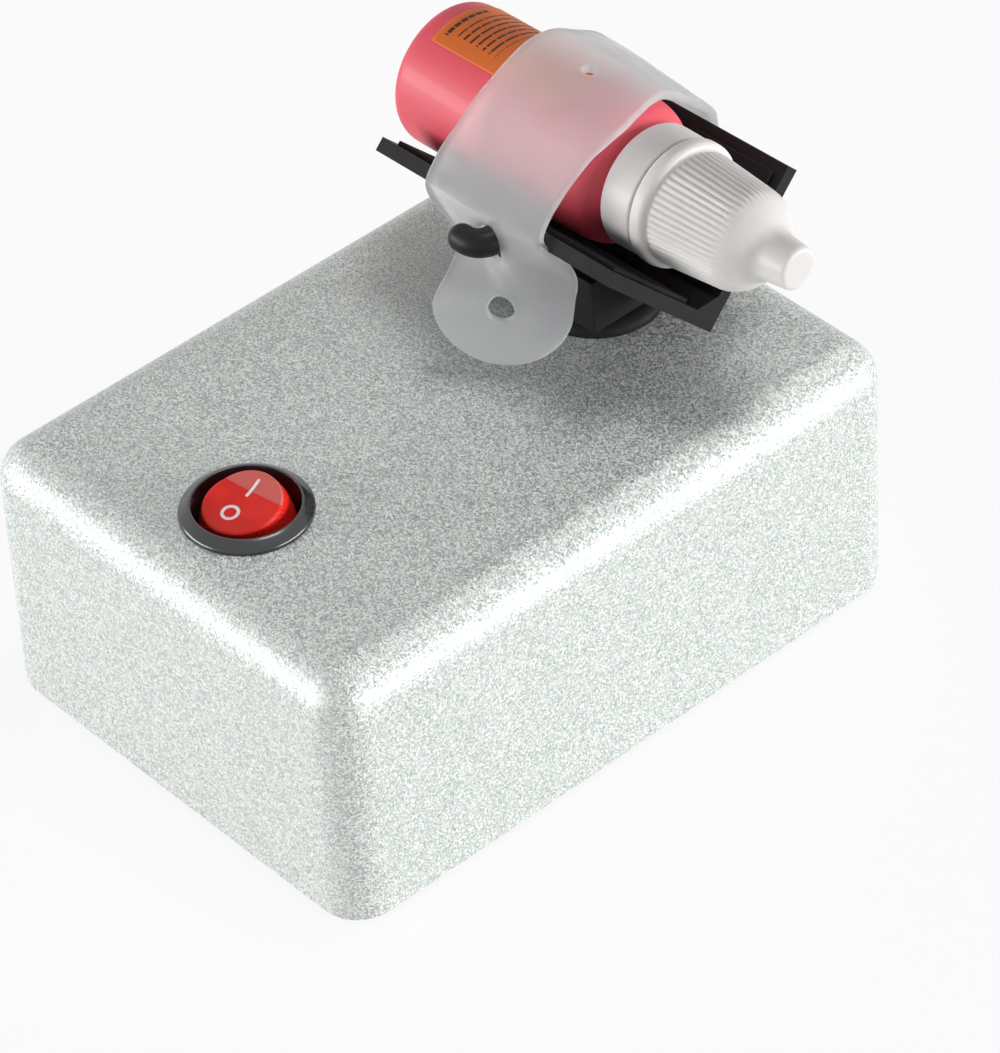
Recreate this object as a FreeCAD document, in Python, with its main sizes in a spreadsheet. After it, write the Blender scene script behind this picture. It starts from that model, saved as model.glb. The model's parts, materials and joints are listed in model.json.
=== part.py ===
"""Nail polish shaker machine, as a parametric FreeCAD document in millimetres.

A moulded case holds four cells, a round rocker switch and an upright motor.  The
motor turns a drive head whose pin leans a little from the shaft, and a hub on that
pin wobbles without turning, because two guide pins stop it.  The hub carries a
V-shaped cradle, in which a silicone strap holds the bottle.

+Z is up, Y is the case's long side and X its short one.  The origin is on the
surface that the feet stand on, below the middle of the case.  The wobbling parts
are built upright in the holder's own frame, whose origin is the point where the
drive pin's axis crosses the motor's, and are then leaned by wobble_tilt.
"""
import FreeCAD, Part

import math
import os
import re

import Sketcher
from FreeCAD import Placement, Rotation, Vector

doc = FreeCAD.newDocument("NailPolishShaker")
sheet = doc.addObject("Spreadsheet::Sheet", "sizes")

# Driving dimensions: alias, value in millimetres (or degrees, or a count), meaning.
SIZES = (
    ("case_width", 92, "case outside, along X"),
    ("case_length", 127, "case outside, along Y"),
    ("case_height", 51.8, "case shell from its rim to its top face"),
    ("case_wall", 2.4, "walls of the shell"),
    ("edge_radius", 7.5, "rounding of the shell's upright and top edges"),
    ("foot_stand", 1.0, "how far the feet stand out below the rim"),
    ("foot_radius", 5.0, "rubber foot"),
    ("foot_sink", 1.2, "depth of the foot's seat in the base"),
    ("foot_x", 26, "feet from the middle, along X"),
    ("foot_inset", 9.0, "feet from the case's ends, along Y"),
    ("base_thickness", 4.0, "base plate"),
    ("base_gap", 0.15, "base plate inside the shell's walls"),
    ("boss_radius", 5.0, "screw columns in the shell's corners"),
    ("boss_inset", 7.0, "screw columns from the outside faces"),
    ("fit_gap", 0.02, "radial clearance of a pressed or threaded seat"),
    ("clear_gap", 0.25, "radial clearance of a screw's through hole"),
    ("large_screw_radius", 1.5, "M3 screw"),
    ("large_head_radius", 2.8, "M3 head"),
    ("large_head_height", 1.7, "M3 head"),
    ("small_screw_radius", 1.25, "M2.5 screw"),
    ("small_head_radius", 2.2, "M2.5 head"),
    ("small_head_height", 1.2, "M2.5 head"),
    ("case_screw_length", 12, "case screws, under the head"),
    ("switch_inset", 20.7, "rocker switch from the case's end, along Y"),
    ("bezel_radius", 11.5, "rocker switch's bezel"),
    ("bezel_height", 2.0, "bezel above the case"),
    ("bezel_inner_radius", 9.3, "mouth of the bezel"),
    ("well_radius", 8.75, "well that the rocker moves in"),
    ("barrel_radius", 10.0, "switch body behind the panel"),
    ("barrel_depth", 14.2, "switch body behind the panel's face"),
    ("panel_gap", 0.1, "switch body in the panel's hole"),
    ("rocker_radius", 7.8, "rocker button"),
    ("rocker_top", 5.4, "rocker's face above its pin"),
    ("rocker_skirt", 2.5, "rocker's skirt below its pin"),
    ("rocker_tilt", 10, "rocker's lean, each way, in degrees"),
    ("rocker_pin_depth", 3.0, "rocker's pin below the case's face"),
    ("rocker_pin_radius", 0.8, "rocker's pin"),
    ("rocker_stem_radius", 1.3, "stem that pushes the contact arm"),
    ("rocker_stem", 7.5, "stem's tip below the pin"),
    ("well_floor", 7.5, "floor of the well below the case's face"),
    ("arm_depth", 11.0, "contact arm's rocking axis below the case's face"),
    ("arm_length", 13, "contact arm, along Y"),
    ("arm_width", 3, "contact arm, along X"),
    ("arm_thickness", 0.6, "contact arm"),
    ("arm_knuckle_radius", 0.45, "knuckle that the contact arm rocks on"),
    ("contact_gap", 0.05, "contact arm above its blades"),
    ("arm_tilt", 8, "contact arm's lean, each way, in degrees"),
    ("blade_width", 4.8, "switch terminals"),
    ("blade_thickness", 0.8, "switch terminals"),
    ("blade_reach", 21, "switch terminals' tips below the case's face"),
    ("blade_pitch", 6, "switch terminals, along Y"),
    ("lamp_radius", 1.5, "pilot lamp under the rocker"),
    ("cell_radius", 7.25, "AA cell"),
    ("cell_length", 50.5, "AA cell with its nub"),
    ("cell_nub_radius", 2.75, "AA cell's nub"),
    ("cell_nub", 1.2, "AA cell's nub"),
    ("cell_pitch", 15.2, "from cell to cell"),
    ("cell_count", 4, "cells side by side"),
    ("spring_length", 5, "cell spring, as held by the cell"),
    ("contact_thickness", 0.5, "cell contact plates"),
    ("contact_size", 10, "cell contact plates"),
    ("tray_wall", 1.5, "battery tray"),
    ("motor_gap", 1.5, "motor clear of the battery tray"),
    ("tab_size", 3, "solder tabs on the battery tray"),
    ("tab_thickness", 1.6, "solder tabs on the battery tray"),
    ("plus_tab_x", 23, "solder tab on the tray's front, along X"),
    ("minus_tab_x", 25, "solder tab on the tray's back, along -X"),
    ("cell_gap", 0.25, "cells inside the tray and above the door"),
    ("door_thickness", 2.4, "battery door"),
    ("door_gap", 0.2, "battery door in its channel"),
    ("tongue_width", 1.2, "tongues on the door's sides"),
    ("tongue_height", 0.6, "tongues on the door's sides"),
    ("hub_inset", 26.5, "motor and hub from the case's end, along Y"),
    ("pivot_drop", 12.8, "crossing of the drive pin's and the motor's axes below the case's top"),
    ("wobble_tilt", 2.5, "lean of the drive pin, in degrees"),
    ("motor_radius", 12.2, "motor can"),
    ("motor_lift", 4.5, "motor can above the base plate"),
    ("motor_sheet", 0.8, "motor can's wall"),
    ("motor_cap", 1.5, "motor's end cap"),
    ("motor_boss_radius", 3.0, "bearing boss on the motor's face"),
    ("motor_boss", 1.4, "bearing boss on the motor's face"),
    ("motor_screw_x", 8.5, "motor's face screws from its shaft"),
    ("motor_tab_x", 5, "motor's solder tabs from its shaft, along X"),
    ("motor_tab_y", 8, "motor's solder tabs from its shaft, along -Y"),
    ("shaft_radius", 1.0, "motor shaft"),
    ("shaft_gap", 0.05, "shaft in the motor's bearings"),
    ("shaft_reach", 5, "shaft above the pivot"),
    ("armature_radius", 9.0, "motor armature"),
    ("armature_ends", 9, "length of the can that the armature leaves free"),
    ("magnet_thickness", 1.8, "motor magnets"),
    ("bracket_drop", 5, "bracket's top face below the pivot"),
    ("bracket_thickness", 1.5, "motor bracket"),
    ("bracket_half", 21, "motor bracket from its middle to each side"),
    ("post_offset", 17, "bracket's posts from the shaft, along X and Y"),
    ("post_radius", 3.6, "bracket's posts"),
    ("bracket_screw_length", 7, "bracket's screws, under the head"),
    ("guide_radius", 1.5, "guide pins"),
    ("guide_offset", 14, "guide pins from the shaft, along Y"),
    ("guide_gap", 0.25, "guide pins in their bushes"),
    ("guide_length", 11.5, "guide pins"),
    ("bush_wall", 1.25, "guide bushes"),
    ("collar_radius", 4.0, "drive head's collar"),
    ("collar_height", 3.3, "drive head's collar"),
    ("collar_drop", 1.1, "collar's top below the pivot"),
    ("weight_radius", 11, "counterweight"),
    ("weight_height", 1.2, "counterweight"),
    ("pin_radius", 2.5, "drive pin"),
    ("shoulder_radius", 3.1, "drive pin's shoulder"),
    ("shoulder_rise", 1.0, "shoulder above the pivot"),
    ("bearing_radius", 5.0, "ball bearings, outside"),
    ("bearing_width", 4.0, "ball bearings"),
    ("ring_wall", 0.8, "bearing rings"),
    ("ball_radius", 0.75, "bearing balls"),
    ("ball_gap", 0.03, "balls in their races"),
    ("ball_count", 7, "balls in each bearing"),
    ("spacer_length", 2.5, "between the two bearings"),
    ("clip_thickness", 0.5, "retaining clip on the pin"),
    ("clip_radius", 3.9, "retaining clip on the pin"),
    ("hub_radius", 7.0, "hub's sleeve"),
    ("hub_top", 16.5, "hub's top above the pivot"),
    ("flange_radius", 18, "hub's flange"),
    ("flange_thickness", 2.4, "hub's flange"),
    ("boot_hole_radius", 9.6, "hole in the case's top"),
    ("boot_radius", 12, "rubber boot"),
    ("boot_height", 2.6, "rubber boot above the case"),
    ("boot_bore_radius", 8.3, "rubber boot around the hub"),
    ("boot_lip", 0.9, "boot's lip under the case's top"),
    ("saddle_half_x", 12, "saddle from its middle, along X"),
    ("saddle_half_y", 11, "saddle from its middle, along Y"),
    ("saddle_top", 27, "saddle's horns above the pivot"),
    ("valley_height", 19.3, "cradle's outer valley above the pivot"),
    ("cradle_length", 58, "cradle, along X"),
    ("cradle_arm", 31, "cradle's side, from the valley to its top edge"),
    ("cradle_wall", 2.6, "cradle's sides"),
    ("valley_flat", 2.5, "half of the flat inside the valley"),
    ("cradle_screw_x", 8, "cradle's screws from its middle"),
    ("cradle_screw_length", 8, "cradle's screws, with their heads"),
    ("pad_thickness", 0.8, "grip pads in the cradle"),
    ("pad_inset", 2, "grip pads from the cradle's edges"),
    ("bottle_radius", 14, "bottle"),
    ("bottle_gap", 0.3, "bottle above the grip pads"),
    ("bottle_start", -34.3, "bottle's base, along X"),
    ("bottle_shoulder", 50.2, "bottle's base to its neck"),
    ("bottle_wall", 1.2, "bottle's wall"),
    ("neck_radius", 8.0, "bottle's neck"),
    ("neck_length", 15.5, "bottle's neck"),
    ("label_thickness", 0.2, "label"),
    ("label_start", 3, "label from the bottle's base"),
    ("label_length", 33, "label, along the bottle"),
    ("label_angle", 200, "label round the bottle, in degrees"),
    ("label_turn", 60, "label's near edge above the horizontal, in degrees"),
    ("collar_ring_radius", 11.75, "tamper ring on the neck"),
    ("collar_ring_length", 6.9, "tamper ring on the neck"),
    ("cap_gap", 0.3, "between shoulder, ring and cap"),
    ("cap_bead_radius", 12.0, "bead round the cap's mouth"),
    ("cap_bead_length", 4.5, "bead round the cap's mouth"),
    ("cap_grip_radius", 10.5, "ribbed part of the cap, at the bead"),
    ("cap_grip_end_radius", 9.4, "ribbed part of the cap, at its far end"),
    ("cap_grip_length", 13.9, "ribbed part of the cap"),
    ("cap_dome_length", 4.0, "cap's dome"),
    ("nozzle_radius", 4.5, "spout at the dome"),
    ("nozzle_end_radius", 4.0, "spout at its tip"),
    ("nozzle_length", 6.7, "spout"),
    ("strap_width", 27, "strap, along X"),
    ("strap_shift", 1.2, "strap's middle from the cradle's, along X"),
    ("strap_thickness", 1.7, "strap"),
    ("strap_gap", 0.3, "strap clear of the label and of the cradle's edge"),
    ("strap_end", 14.9, "strap's ends above the pivot"),
    ("strap_hole_radius", 2.75, "free holes in the strap"),
    ("hook_hole_radius", 3.5, "holes that the hooks stretch"),
    ("strap_hole_pitch", 10.5, "from a hook's hole to the free one"),
    ("tail_twist", 40, "turn of the strap's near end about the vertical, in degrees"),
    ("tail_slide", 4.0, "strap's near end from the band's middle, along X"),
    ("tail_out", 3.0, "strap's near end stands out from the band, along -Y"),
    ("hook_height", 37.5, "near hook above the pivot"),
    ("far_hook_height", 31.0, "far hook above the pivot"),
    ("hook_radius", 3.0, "hook's stalk"),
    ("hook_tip_radius", 3.5, "hook's tip"),
    ("hook_length", 6.4, "hook's horn, along X"),
    ("hook_bend", 3.4, "bend from stalk to horn"),
    ("hook_root_x", 3.2, "hook's stalk from the cradle's middle, along X"),
    ("foot_plate_x", 14.4, "hook's foot, along X"),
    ("foot_plate_up", 7, "hook's foot, up the cradle's side"),
    ("foot_plate_thickness", 1.5, "hook's foot"),
    ("rivet_radius", 0.9, "rivets"),
    ("rivet_head_radius", 1.6, "rivets"),
    ("rivet_head_height", 0.8, "rivets"),
    ("rivet_inset", 2.2, "rivets from the ends of the hook's foot"),
    ("lead_radius", 0.7, "leads between cells, switch and motor"),
    ("lead_gap", 0.15, "leads clear of what they run along"),
    ("lead_run", 6.3, "straight ends of the leads"),
    ("lead_rise", 1.6, "leads above the battery tray"),
)

# Places that several pieces share, worked out from the sizes.
PLACES = {
    "switch_y": "switch_inset - case_length / 2",
    "hub_y": "case_length / 2 - hub_inset",
    "pivot_height": "case_top - pivot_drop",
    "case_top": "foot_stand + case_height",
    "case_ceiling": "case_top - case_wall",
    "base_top": "foot_stand + base_thickness",
    "inner_half_x": "case_width / 2 - case_wall",
    "inner_half_y": "case_length / 2 - case_wall",
    "boss_x": "case_width / 2 - boss_inset",
    "boss_y": "case_length / 2 - boss_inset",
    "foot_y": "case_length / 2 - foot_inset",
    "rocker_axis": "case_top - rocker_pin_depth",
    "arm_axis": "case_top - arm_depth",
    "door_top": "foot_stand + door_thickness",
    "tray_half_x": "cell_count * cell_pitch / 2 + door_gap",
    "tray_half_y": "(cell_length + spring_length + 2 * contact_thickness) / 2",
    "door_half": "tray_half_y - door_gap",
    "battery_y": "hub_y - motor_radius - motor_gap - tray_wall - tray_half_y",
    "cell_height": "door_top + cell_gap + cell_radius",
    "tray_roof": "cell_height + cell_radius + cell_gap",
    "bracket_top": "pivot_height - bracket_drop",
    "motor_top": "bracket_top - bracket_thickness",
    "motor_bottom": "base_top + motor_lift",
    "armature_length": "motor_top - motor_bottom - armature_ends",
    "collar_top": "pivot_height - collar_drop",
    "weight_bottom": "collar_top - collar_height + 0.9",
    "bearing_low": "shoulder_rise",
    "bearing_high": "shoulder_rise + bearing_width + spacer_length",
    "bearing_end": "bearing_high + bearing_width",
    "race_radius": "(pin_radius + bearing_radius) / 2",
    "pin_span": "barrel_radius - 0.2",
    "valley_head_radius": "large_head_radius - 0.5",
    "valley_head_height": "large_head_height",
    "valley_screw_radius": "large_screw_radius",
    "arm_flat": "cradle_arm / sqrt(2)",
    "wall_flat": "cradle_wall / sqrt(2)",
    "inner_valley": "valley_height + cradle_wall * sqrt(2)",
    "valley_floor": "inner_valley + valley_flat",
    "bottle_height": "inner_valley + (pad_thickness + bottle_radius + bottle_gap) * sqrt(2)",
    "strap_radius": "bottle_radius + label_thickness + strap_gap",
    "strap_side": "arm_flat + strap_gap / sqrt(2)",
    "hook_reach": "strap_side + strap_thickness + hook_tip_radius + strap_gap",
    "cap_start": "bottle_shoulder + collar_ring_length + 2 * cap_gap",
}

ALIASES = {alias for alias, _, _ in SIZES}


def fill_sheet():
    """Write every driving dimension into the sheet, one row each."""
    for row, (alias, value, meaning) in enumerate(SIZES, start=1):
        sheet.set(f"A{row}", meaning)
        sheet.set(f"B{row}", str(value))
        sheet.setAlias(f"B{row}", alias)
    doc.recompute()


def spelled(expression):
    """Return the expression with each place and size pointed at the sheet."""
    def swap(match):
        word = match.group(0)
        if word in PLACES:
            return "(" + spelled(PLACES[word]) + ")"
        return "sizes." + word if word in ALIASES else word
    return re.sub(r"[a-z_]*[a-z]", swap, str(expression))


def number(expression):
    """Return the value of an expression of sizes and places."""
    return float(sheet.evalExpression(spelled(expression)))


# ---------------------------------------------------------------- helpers

UPWARD = Rotation()
DOWNWARD = Rotation(Vector(1, 0, 0), 180)
ALONG_X = Rotation(Vector(0, 1, 0), 90)
ALONG_MINUS_X = Rotation(Vector(0, 1, 0), -90)
ALONG_Y = Rotation(Vector(1, 0, 0), -90)
ALONG_MINUS_Y = Rotation(Vector(1, 0, 0), 90)

NODES = []


def bind(item, **expressions):
    """Bind properties of a document object to expressions of the sizes."""
    for name, expression in expressions.items():
        item.setExpression(name, spelled(expression))
    return item


def put(item, x="0", y="0", z="0", turn=UPWARD):
    """Place an object: its turn is fixed, its base follows the sizes."""
    item.Placement = Placement(Vector(0, 0, 0), turn)
    for axis, expression in zip("xyz", (x, y, z)):
        item.setExpression(f"Placement.Base.{axis}", spelled(expression))
    return item


def lean(item, along_pin="0"):
    """Lean a finished holder piece with the drive pin; along_pin shifts it up the pin."""
    item.Placement = Placement(Vector(0, 0, 0), Rotation(Vector(0, 1, 0), -1))
    item.setExpression("Placement.Rotation.Angle", "-" + spelled("wobble_tilt"))
    item.setExpression("Placement.Base.x", spelled(f"-({along_pin}) * sin(wobble_tilt)"))
    item.setExpression("Placement.Base.y", spelled("hub_y"))
    item.setExpression("Placement.Base.z", spelled(f"pivot_height + ({along_pin}) * cos(wobble_tilt)"))
    return item


def box(name, x_size, y_size, z_size, x="0", y="0", z="0"):
    """Make a box that is centred on x and y and stands on z."""
    item = bind(doc.addObject("Part::Box", name), Length=x_size, Width=y_size, Height=z_size)
    return put(item, f"({x}) - ({x_size}) / 2", f"({y}) - ({y_size}) / 2", z)


def rod(name, radius, height, x="0", y="0", z="0", turn=UPWARD):
    """Make a cylinder from a point along a direction."""
    return put(bind(doc.addObject("Part::Cylinder", name), Radius=radius, Height=height), x, y, z, turn)


def cone(name, radius, end_radius, height, x="0", y="0", z="0", turn=UPWARD):
    """Make a cone from a point along a direction."""
    item = bind(doc.addObject("Part::Cone", name), Radius1=radius, Radius2=end_radius, Height=height)
    return put(item, x, y, z, turn)


def ball(name, radius, x="0", y="0", z="0"):
    """Make a sphere."""
    return put(bind(doc.addObject("Part::Sphere", name), Radius=radius), x, y, z)


def fuse(name, pieces):
    """Join pieces, or hold separate ones as one group."""
    item = doc.addObject("Part::MultiFuse", name)
    item.Shapes = pieces
    return item


def cut(name, base, tools):
    """Cut one tool, or several joined, out of a base."""
    item = doc.addObject("Part::Cut", name)
    item.Base = base
    item.Tool = tools[0] if len(tools) == 1 else fuse(name + "_tools", tools)
    return item


def tube(name, radius, bore_radius, height, x="0", y="0", z="0", turn=UPWARD):
    """Make a ring or sleeve."""
    outside = rod(name + "_outside", radius, height, x, y, z, turn)
    return cut(name, outside, [rod(name + "_bore", bore_radius, height, x, y, z, turn)])


def keep(item, label):
    """Give a finished sub-part the label that names its file."""
    item.Label = label
    NODES.append(item)
    return item


def new_body(label):
    """Start a sub-part that is made of sketched features."""
    item = doc.addObject("PartDesign::Body", label + "_body")
    return keep(item, label)


def plane_sketch(body, name, role, offset=None):
    """Attach an empty sketch to one of the body's own planes, moved along its normal."""
    sketch = body.newObject("Sketcher::SketchObject", name)
    plane = next(item for item in body.Origin.OriginFeatures if item.Role == role)
    sketch.AttachmentSupport = [(plane, "")]
    sketch.MapMode = "FlatFace"
    if offset is not None:
        sketch.setExpression("AttachmentOffset.Base.z", spelled(offset))
    return sketch


def hold_point(sketch, geometry, vertex, x, y):
    """Hold a sketch point at two expressions of the sizes."""
    for kind, expression in (("DistanceX", x), ("DistanceY", y)):
        constraint = Sketcher.Constraint(kind, -1, 1, geometry, vertex, number(expression))
        index = sketch.addConstraint(constraint)
        sketch.setExpression(f"Constraints[{index}]", spelled(expression))


def outline(sketch, points):
    """Draw a closed outline whose corners are expressions of the sizes."""
    places = [Vector(number(x), number(y), 0) for x, y in points]
    first = sketch.GeometryCount
    count = len(places)
    for index in range(count):
        sketch.addGeometry(Part.LineSegment(places[index], places[(index + 1) % count]), False)
    for index in range(count):
        following = first + (index + 1) % count
        sketch.addConstraint(Sketcher.Constraint("Coincident", first + index, 2, following, 1))
    for index, (x, y) in enumerate(points):
        hold_point(sketch, first + index, 1, x, y)
    return sketch


def oblong(sketch, half_x, half_y, x="0", y="0"):
    """Draw a centred rectangle."""
    return outline(sketch, [(f"{x} - ({half_x})", f"{y} - ({half_y})"), (f"{x} + {half_x}", f"{y} - ({half_y})"),
                            (f"{x} + {half_x}", f"{y} + {half_y}"), (f"{x} - ({half_x})", f"{y} + {half_y}")])


def ring(sketch, radius, x="0", y="0"):
    """Draw a circle."""
    index = sketch.addGeometry(Part.Circle(Vector(number(x), number(y), 0), Vector(0, 0, 1), number(radius)), False)
    hold_point(sketch, index, 3, x, y)
    constraint = sketch.addConstraint(Sketcher.Constraint("Radius", index, number(radius)))
    sketch.setExpression(f"Constraints[{constraint}]", spelled(radius))
    return sketch


def pad(body, sketch, length, middle=False, downward=False):
    """Raise a sketch."""
    item = body.newObject("PartDesign::Pad", sketch.Name + "_pad")
    item.Profile = sketch
    item.setExpression("Length", spelled(length))
    item.Midplane = middle
    item.Reversed = downward
    sketch.Visibility = False
    return item


def pocket(body, sketch, length=None, middle=False, flipped=False):
    """Cut a sketch to a depth, or right through where no depth is given."""
    item = body.newObject("PartDesign::Pocket", sketch.Name + "_pocket")
    item.Profile = sketch
    if length is None:
        item.Type = "ThroughAll"
    else:
        item.setExpression("Length", spelled(length))
    item.Midplane = middle
    item.Reversed = flipped
    return item


def revolve(body, sketch, axis, angle="360"):
    """Turn a sketch about one of its own axes."""
    item = body.newObject("PartDesign::Revolution", sketch.Name + "_revolution")
    item.Profile = sketch
    item.ReferenceAxis = (sketch, [axis])
    item.setExpression("Angle", spelled(angle))
    return item


def edges_where(feature, test):
    """Name the edges of a feature that pass a test, given their middle and direction."""
    names = []
    for index, edge in enumerate(feature.Shape.Edges, start=1):
        ends = [vertex.Point for vertex in edge.Vertexes]
        if len(ends) < 2 or abs((ends[1] - ends[0]).Length - edge.Length) > 1e-6:
            continue
        if test((ends[0] + ends[1]) / 2, (ends[1] - ends[0]).normalize()):
            names.append(f"Edge{index}")
    return names


def fillet(body, feature, test, radius):
    """Round the edges of a feature that pass a test."""
    doc.recompute()
    item = body.newObject("PartDesign::Fillet", feature.Name + "_fillet")
    item.Base = (feature, edges_where(feature, test))
    item.setExpression("Radius", spelled(radius))
    doc.recompute()
    return item


def upright(middle, direction):
    """Tell whether an edge is upright."""
    return abs(direction.z) > 0.99


# ---------------------------------------------------------------- case

def case_corners():
    """Yield the sign pairs of the four corners."""
    return [(x, y) for x in (-1, 1) for y in (-1, 1)]


def rounded_block(name, half_x, half_y, bottom, height, radius):
    """Make a block with rounded upright and top edges."""
    body = doc.addObject("PartDesign::Body", name)
    block = pad(body, oblong(plane_sketch(body, name + "_plan", "XY_Plane", bottom), half_x, half_y), height)
    sides = fillet(body, block, upright, radius)
    top = number(f"{bottom} + {height}")
    rim = body.newObject("PartDesign::Fillet", name + "_rim")
    rim.Base = (sides, [f"Edge{index}" for index, edge in enumerate(sides.Shape.Edges, start=1)
                        if edge.BoundBox.ZMin > top - 0.01])
    rim.setExpression("Radius", spelled(radius))
    return body


def common(name, pieces):
    """Keep what all the pieces share."""
    item = doc.addObject("Part::MultiCommon", name)
    item.Shapes = pieces
    return item


def case_shell():
    """Moulded shell: rounded box open below, with its ceiling's posts and holes."""
    outside = rounded_block("case_outside", "case_width / 2", "case_length / 2", "foot_stand", "case_height",
                            "edge_radius")
    inside = rounded_block("case_inside", "inner_half_x", "inner_half_y", "foot_stand",
                           "case_ceiling - foot_stand", "edge_radius - case_wall")
    rise = "case_top - bracket_top"
    columns, posts, bores = [], [], []
    for index, (x, y) in enumerate(case_corners()):
        columns.append(rod(f"column_{index}", "boss_radius", "case_top - base_top", f"{x} * boss_x",
                           f"{y} * boss_y", "base_top"))
        bores.append(rod(f"pilot_{index}", "large_screw_radius + fit_gap", "case_screw_length", f"{x} * boss_x",
                         f"{y} * boss_y", "base_top"))
        posts.append(rod(f"post_{index}", "post_radius", f"{rise} - case_wall / 2", f"{x} * post_offset",
                         f"hub_y + {y} * post_offset", "bracket_top"))
        bores.append(rod(f"thread_{index}", "large_screw_radius + fit_gap", "bracket_screw_length + 1",
                         f"{x} * post_offset", f"hub_y + {y} * post_offset", "bracket_top"))
    columns = common("column_group", [fuse("column_rods", columns), outside])
    shell = fuse("shell_blank", [cut("shell_hollow", outside, [inside]), columns] + posts)
    bores.append(rod("switch_hole", "barrel_radius + panel_gap", "3 * case_wall", "0", "switch_y",
                     "case_top - 2 * case_wall"))
    bores.append(rod("hub_hole", "boot_hole_radius", "3 * case_wall", "0", "hub_y", "case_top - 2 * case_wall"))
    bores.append(box("door_notch", "2 * case_wall", "2 * (door_half + tongue_width + door_gap)",
                     "door_thickness + door_gap + 1", "-case_width / 2", "battery_y", "foot_stand - 1"))
    keep(cut("shell_shape", shell, bores), "case_shell")


def base_plate():
    """Flat base: corner screw holes, foot seats, and the door's channel with its grooves."""
    body = new_body("base_plate")
    plate = pad(body, oblong(plane_sketch(body, "base_plan", "XY_Plane", "foot_stand"),
                             "inner_half_x - base_gap", "inner_half_y - base_gap"), "base_thickness")
    fillet(body, plate, upright, "edge_radius - case_wall")
    far_x = "tray_half_x + door_gap"
    channel_x = f"(inner_half_x + {far_x}) / 2"
    middle_x = f"({far_x} - inner_half_x) / 2"
    channel = oblong(plane_sketch(body, "door_channel", "XY_Plane", "foot_stand"),
                     channel_x, "door_half + door_gap", middle_x, "battery_y")
    pocket(body, channel, "door_thickness + door_gap", flipped=True)
    tongue_low = "foot_stand + (door_thickness - tongue_height) / 2 - door_gap / 2"
    groove = oblong(plane_sketch(body, "tongue_groove", "XY_Plane", tongue_low),
                    channel_x, "door_half + tongue_width + door_gap", middle_x, "battery_y")
    pocket(body, groove, "tongue_height + door_gap", flipped=True)
    window = oblong(plane_sketch(body, "cell_window", "XY_Plane", "foot_stand"),
                    "tray_half_x", "tray_half_y", "0", "battery_y")
    pocket(body, window, flipped=True)
    for index, (x, y) in enumerate(case_corners()):
        hole = ring(plane_sketch(body, f"screw_hole_{index}", "XY_Plane", "foot_stand"),
                    "large_screw_radius + clear_gap", f"{x} * boss_x", f"{y} * boss_y")
        pocket(body, hole, flipped=True)
        seat = ring(plane_sketch(body, f"head_seat_{index}", "XY_Plane", "foot_stand"),
                    "large_head_radius + clear_gap", f"{x} * boss_x", f"{y} * boss_y")
        pocket(body, seat, "large_head_height + clear_gap", flipped=True)
        foot = ring(plane_sketch(body, f"foot_seat_{index}", "XY_Plane", "foot_stand"),
                    "foot_radius + fit_gap", f"{x} * foot_x", f"{y} * foot_y")
        pocket(body, foot, "foot_sink", flipped=True)


def rubber_feet():
    """Four feet, sunk in the base and standing out below it."""
    feet = [rod(f"foot_{index}", "foot_radius", "foot_stand + foot_sink", f"{x} * foot_x", f"{y} * foot_y", "0")
            for index, (x, y) in enumerate(case_corners())]
    keep(fuse("feet_group", feet), "rubber_feet")


def screw(name, size, length, x, y, z, turn=UPWARD, sunk=False):
    """Make a screw whose head's underside (or, if sunk, its flat top) is at the point."""
    head_radius, head_height = f"{size}_head_radius", f"{size}_head_height"
    sign = 1 if turn is UPWARD else -1
    if sunk:
        head = cone(name + "_head", head_radius, f"{size}_screw_radius", head_height, x, y, z, turn)
        shank = rod(name + "_shank", f"{size}_screw_radius", length, x, y, z, turn)
        socket_z = z
    else:
        head = rod(name + "_head", head_radius, head_height, x, y, f"{z} - {sign} * {head_height}", turn)
        shank = rod(name + "_shank", f"{size}_screw_radius", length, x, y, z, turn)
        socket_z = f"{z} - {sign} * {head_height}"
    socket = rod(name + "_socket", f"{size}_screw_radius * 0.6", f"{head_height} * 0.6", x, y, socket_z, turn)
    return cut(name, fuse(name + "_blank", [head, shank]), [socket])


def case_screws():
    """Four screws up through the base into the shell's columns."""
    height = "foot_stand + large_head_height + clear_gap"
    screws = [screw(f"case_screw_{index}", "large", "case_screw_length", f"{x} * boss_x", f"{y} * boss_y", height)
              for index, (x, y) in enumerate(case_corners())]
    keep(fuse("case_screw_group", screws), "case_screws")


def rubber_boot():
    """Grommet round the hub: it grips the edge of the hole in the case's top."""
    body = new_body("rubber_boot")
    body.setExpression("Placement.Base.y", spelled("hub_y"))
    bore, hole = "boot_bore_radius", "boot_hole_radius"
    profile = outline(plane_sketch(body, "boot_profile", "XZ_Plane"), [
        (bore, "case_ceiling - boot_lip"), (f"{hole} + 1.4", "case_ceiling - boot_lip"),
        (f"{hole} + 1.4", "case_ceiling"), (hole, "case_ceiling"), (hole, "case_top"),
        ("boot_radius", "case_top"), ("boot_radius", "case_top + boot_height * 0.3"),
        ("boot_radius - boot_height * 0.25", "case_top + boot_height * 0.75"),
        ("boot_radius - boot_height * 0.8", "case_top + boot_height"), (bore, "case_top + boot_height")])
    revolve(body, profile, "V_Axis")


# ---------------------------------------------------------------- battery

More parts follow.
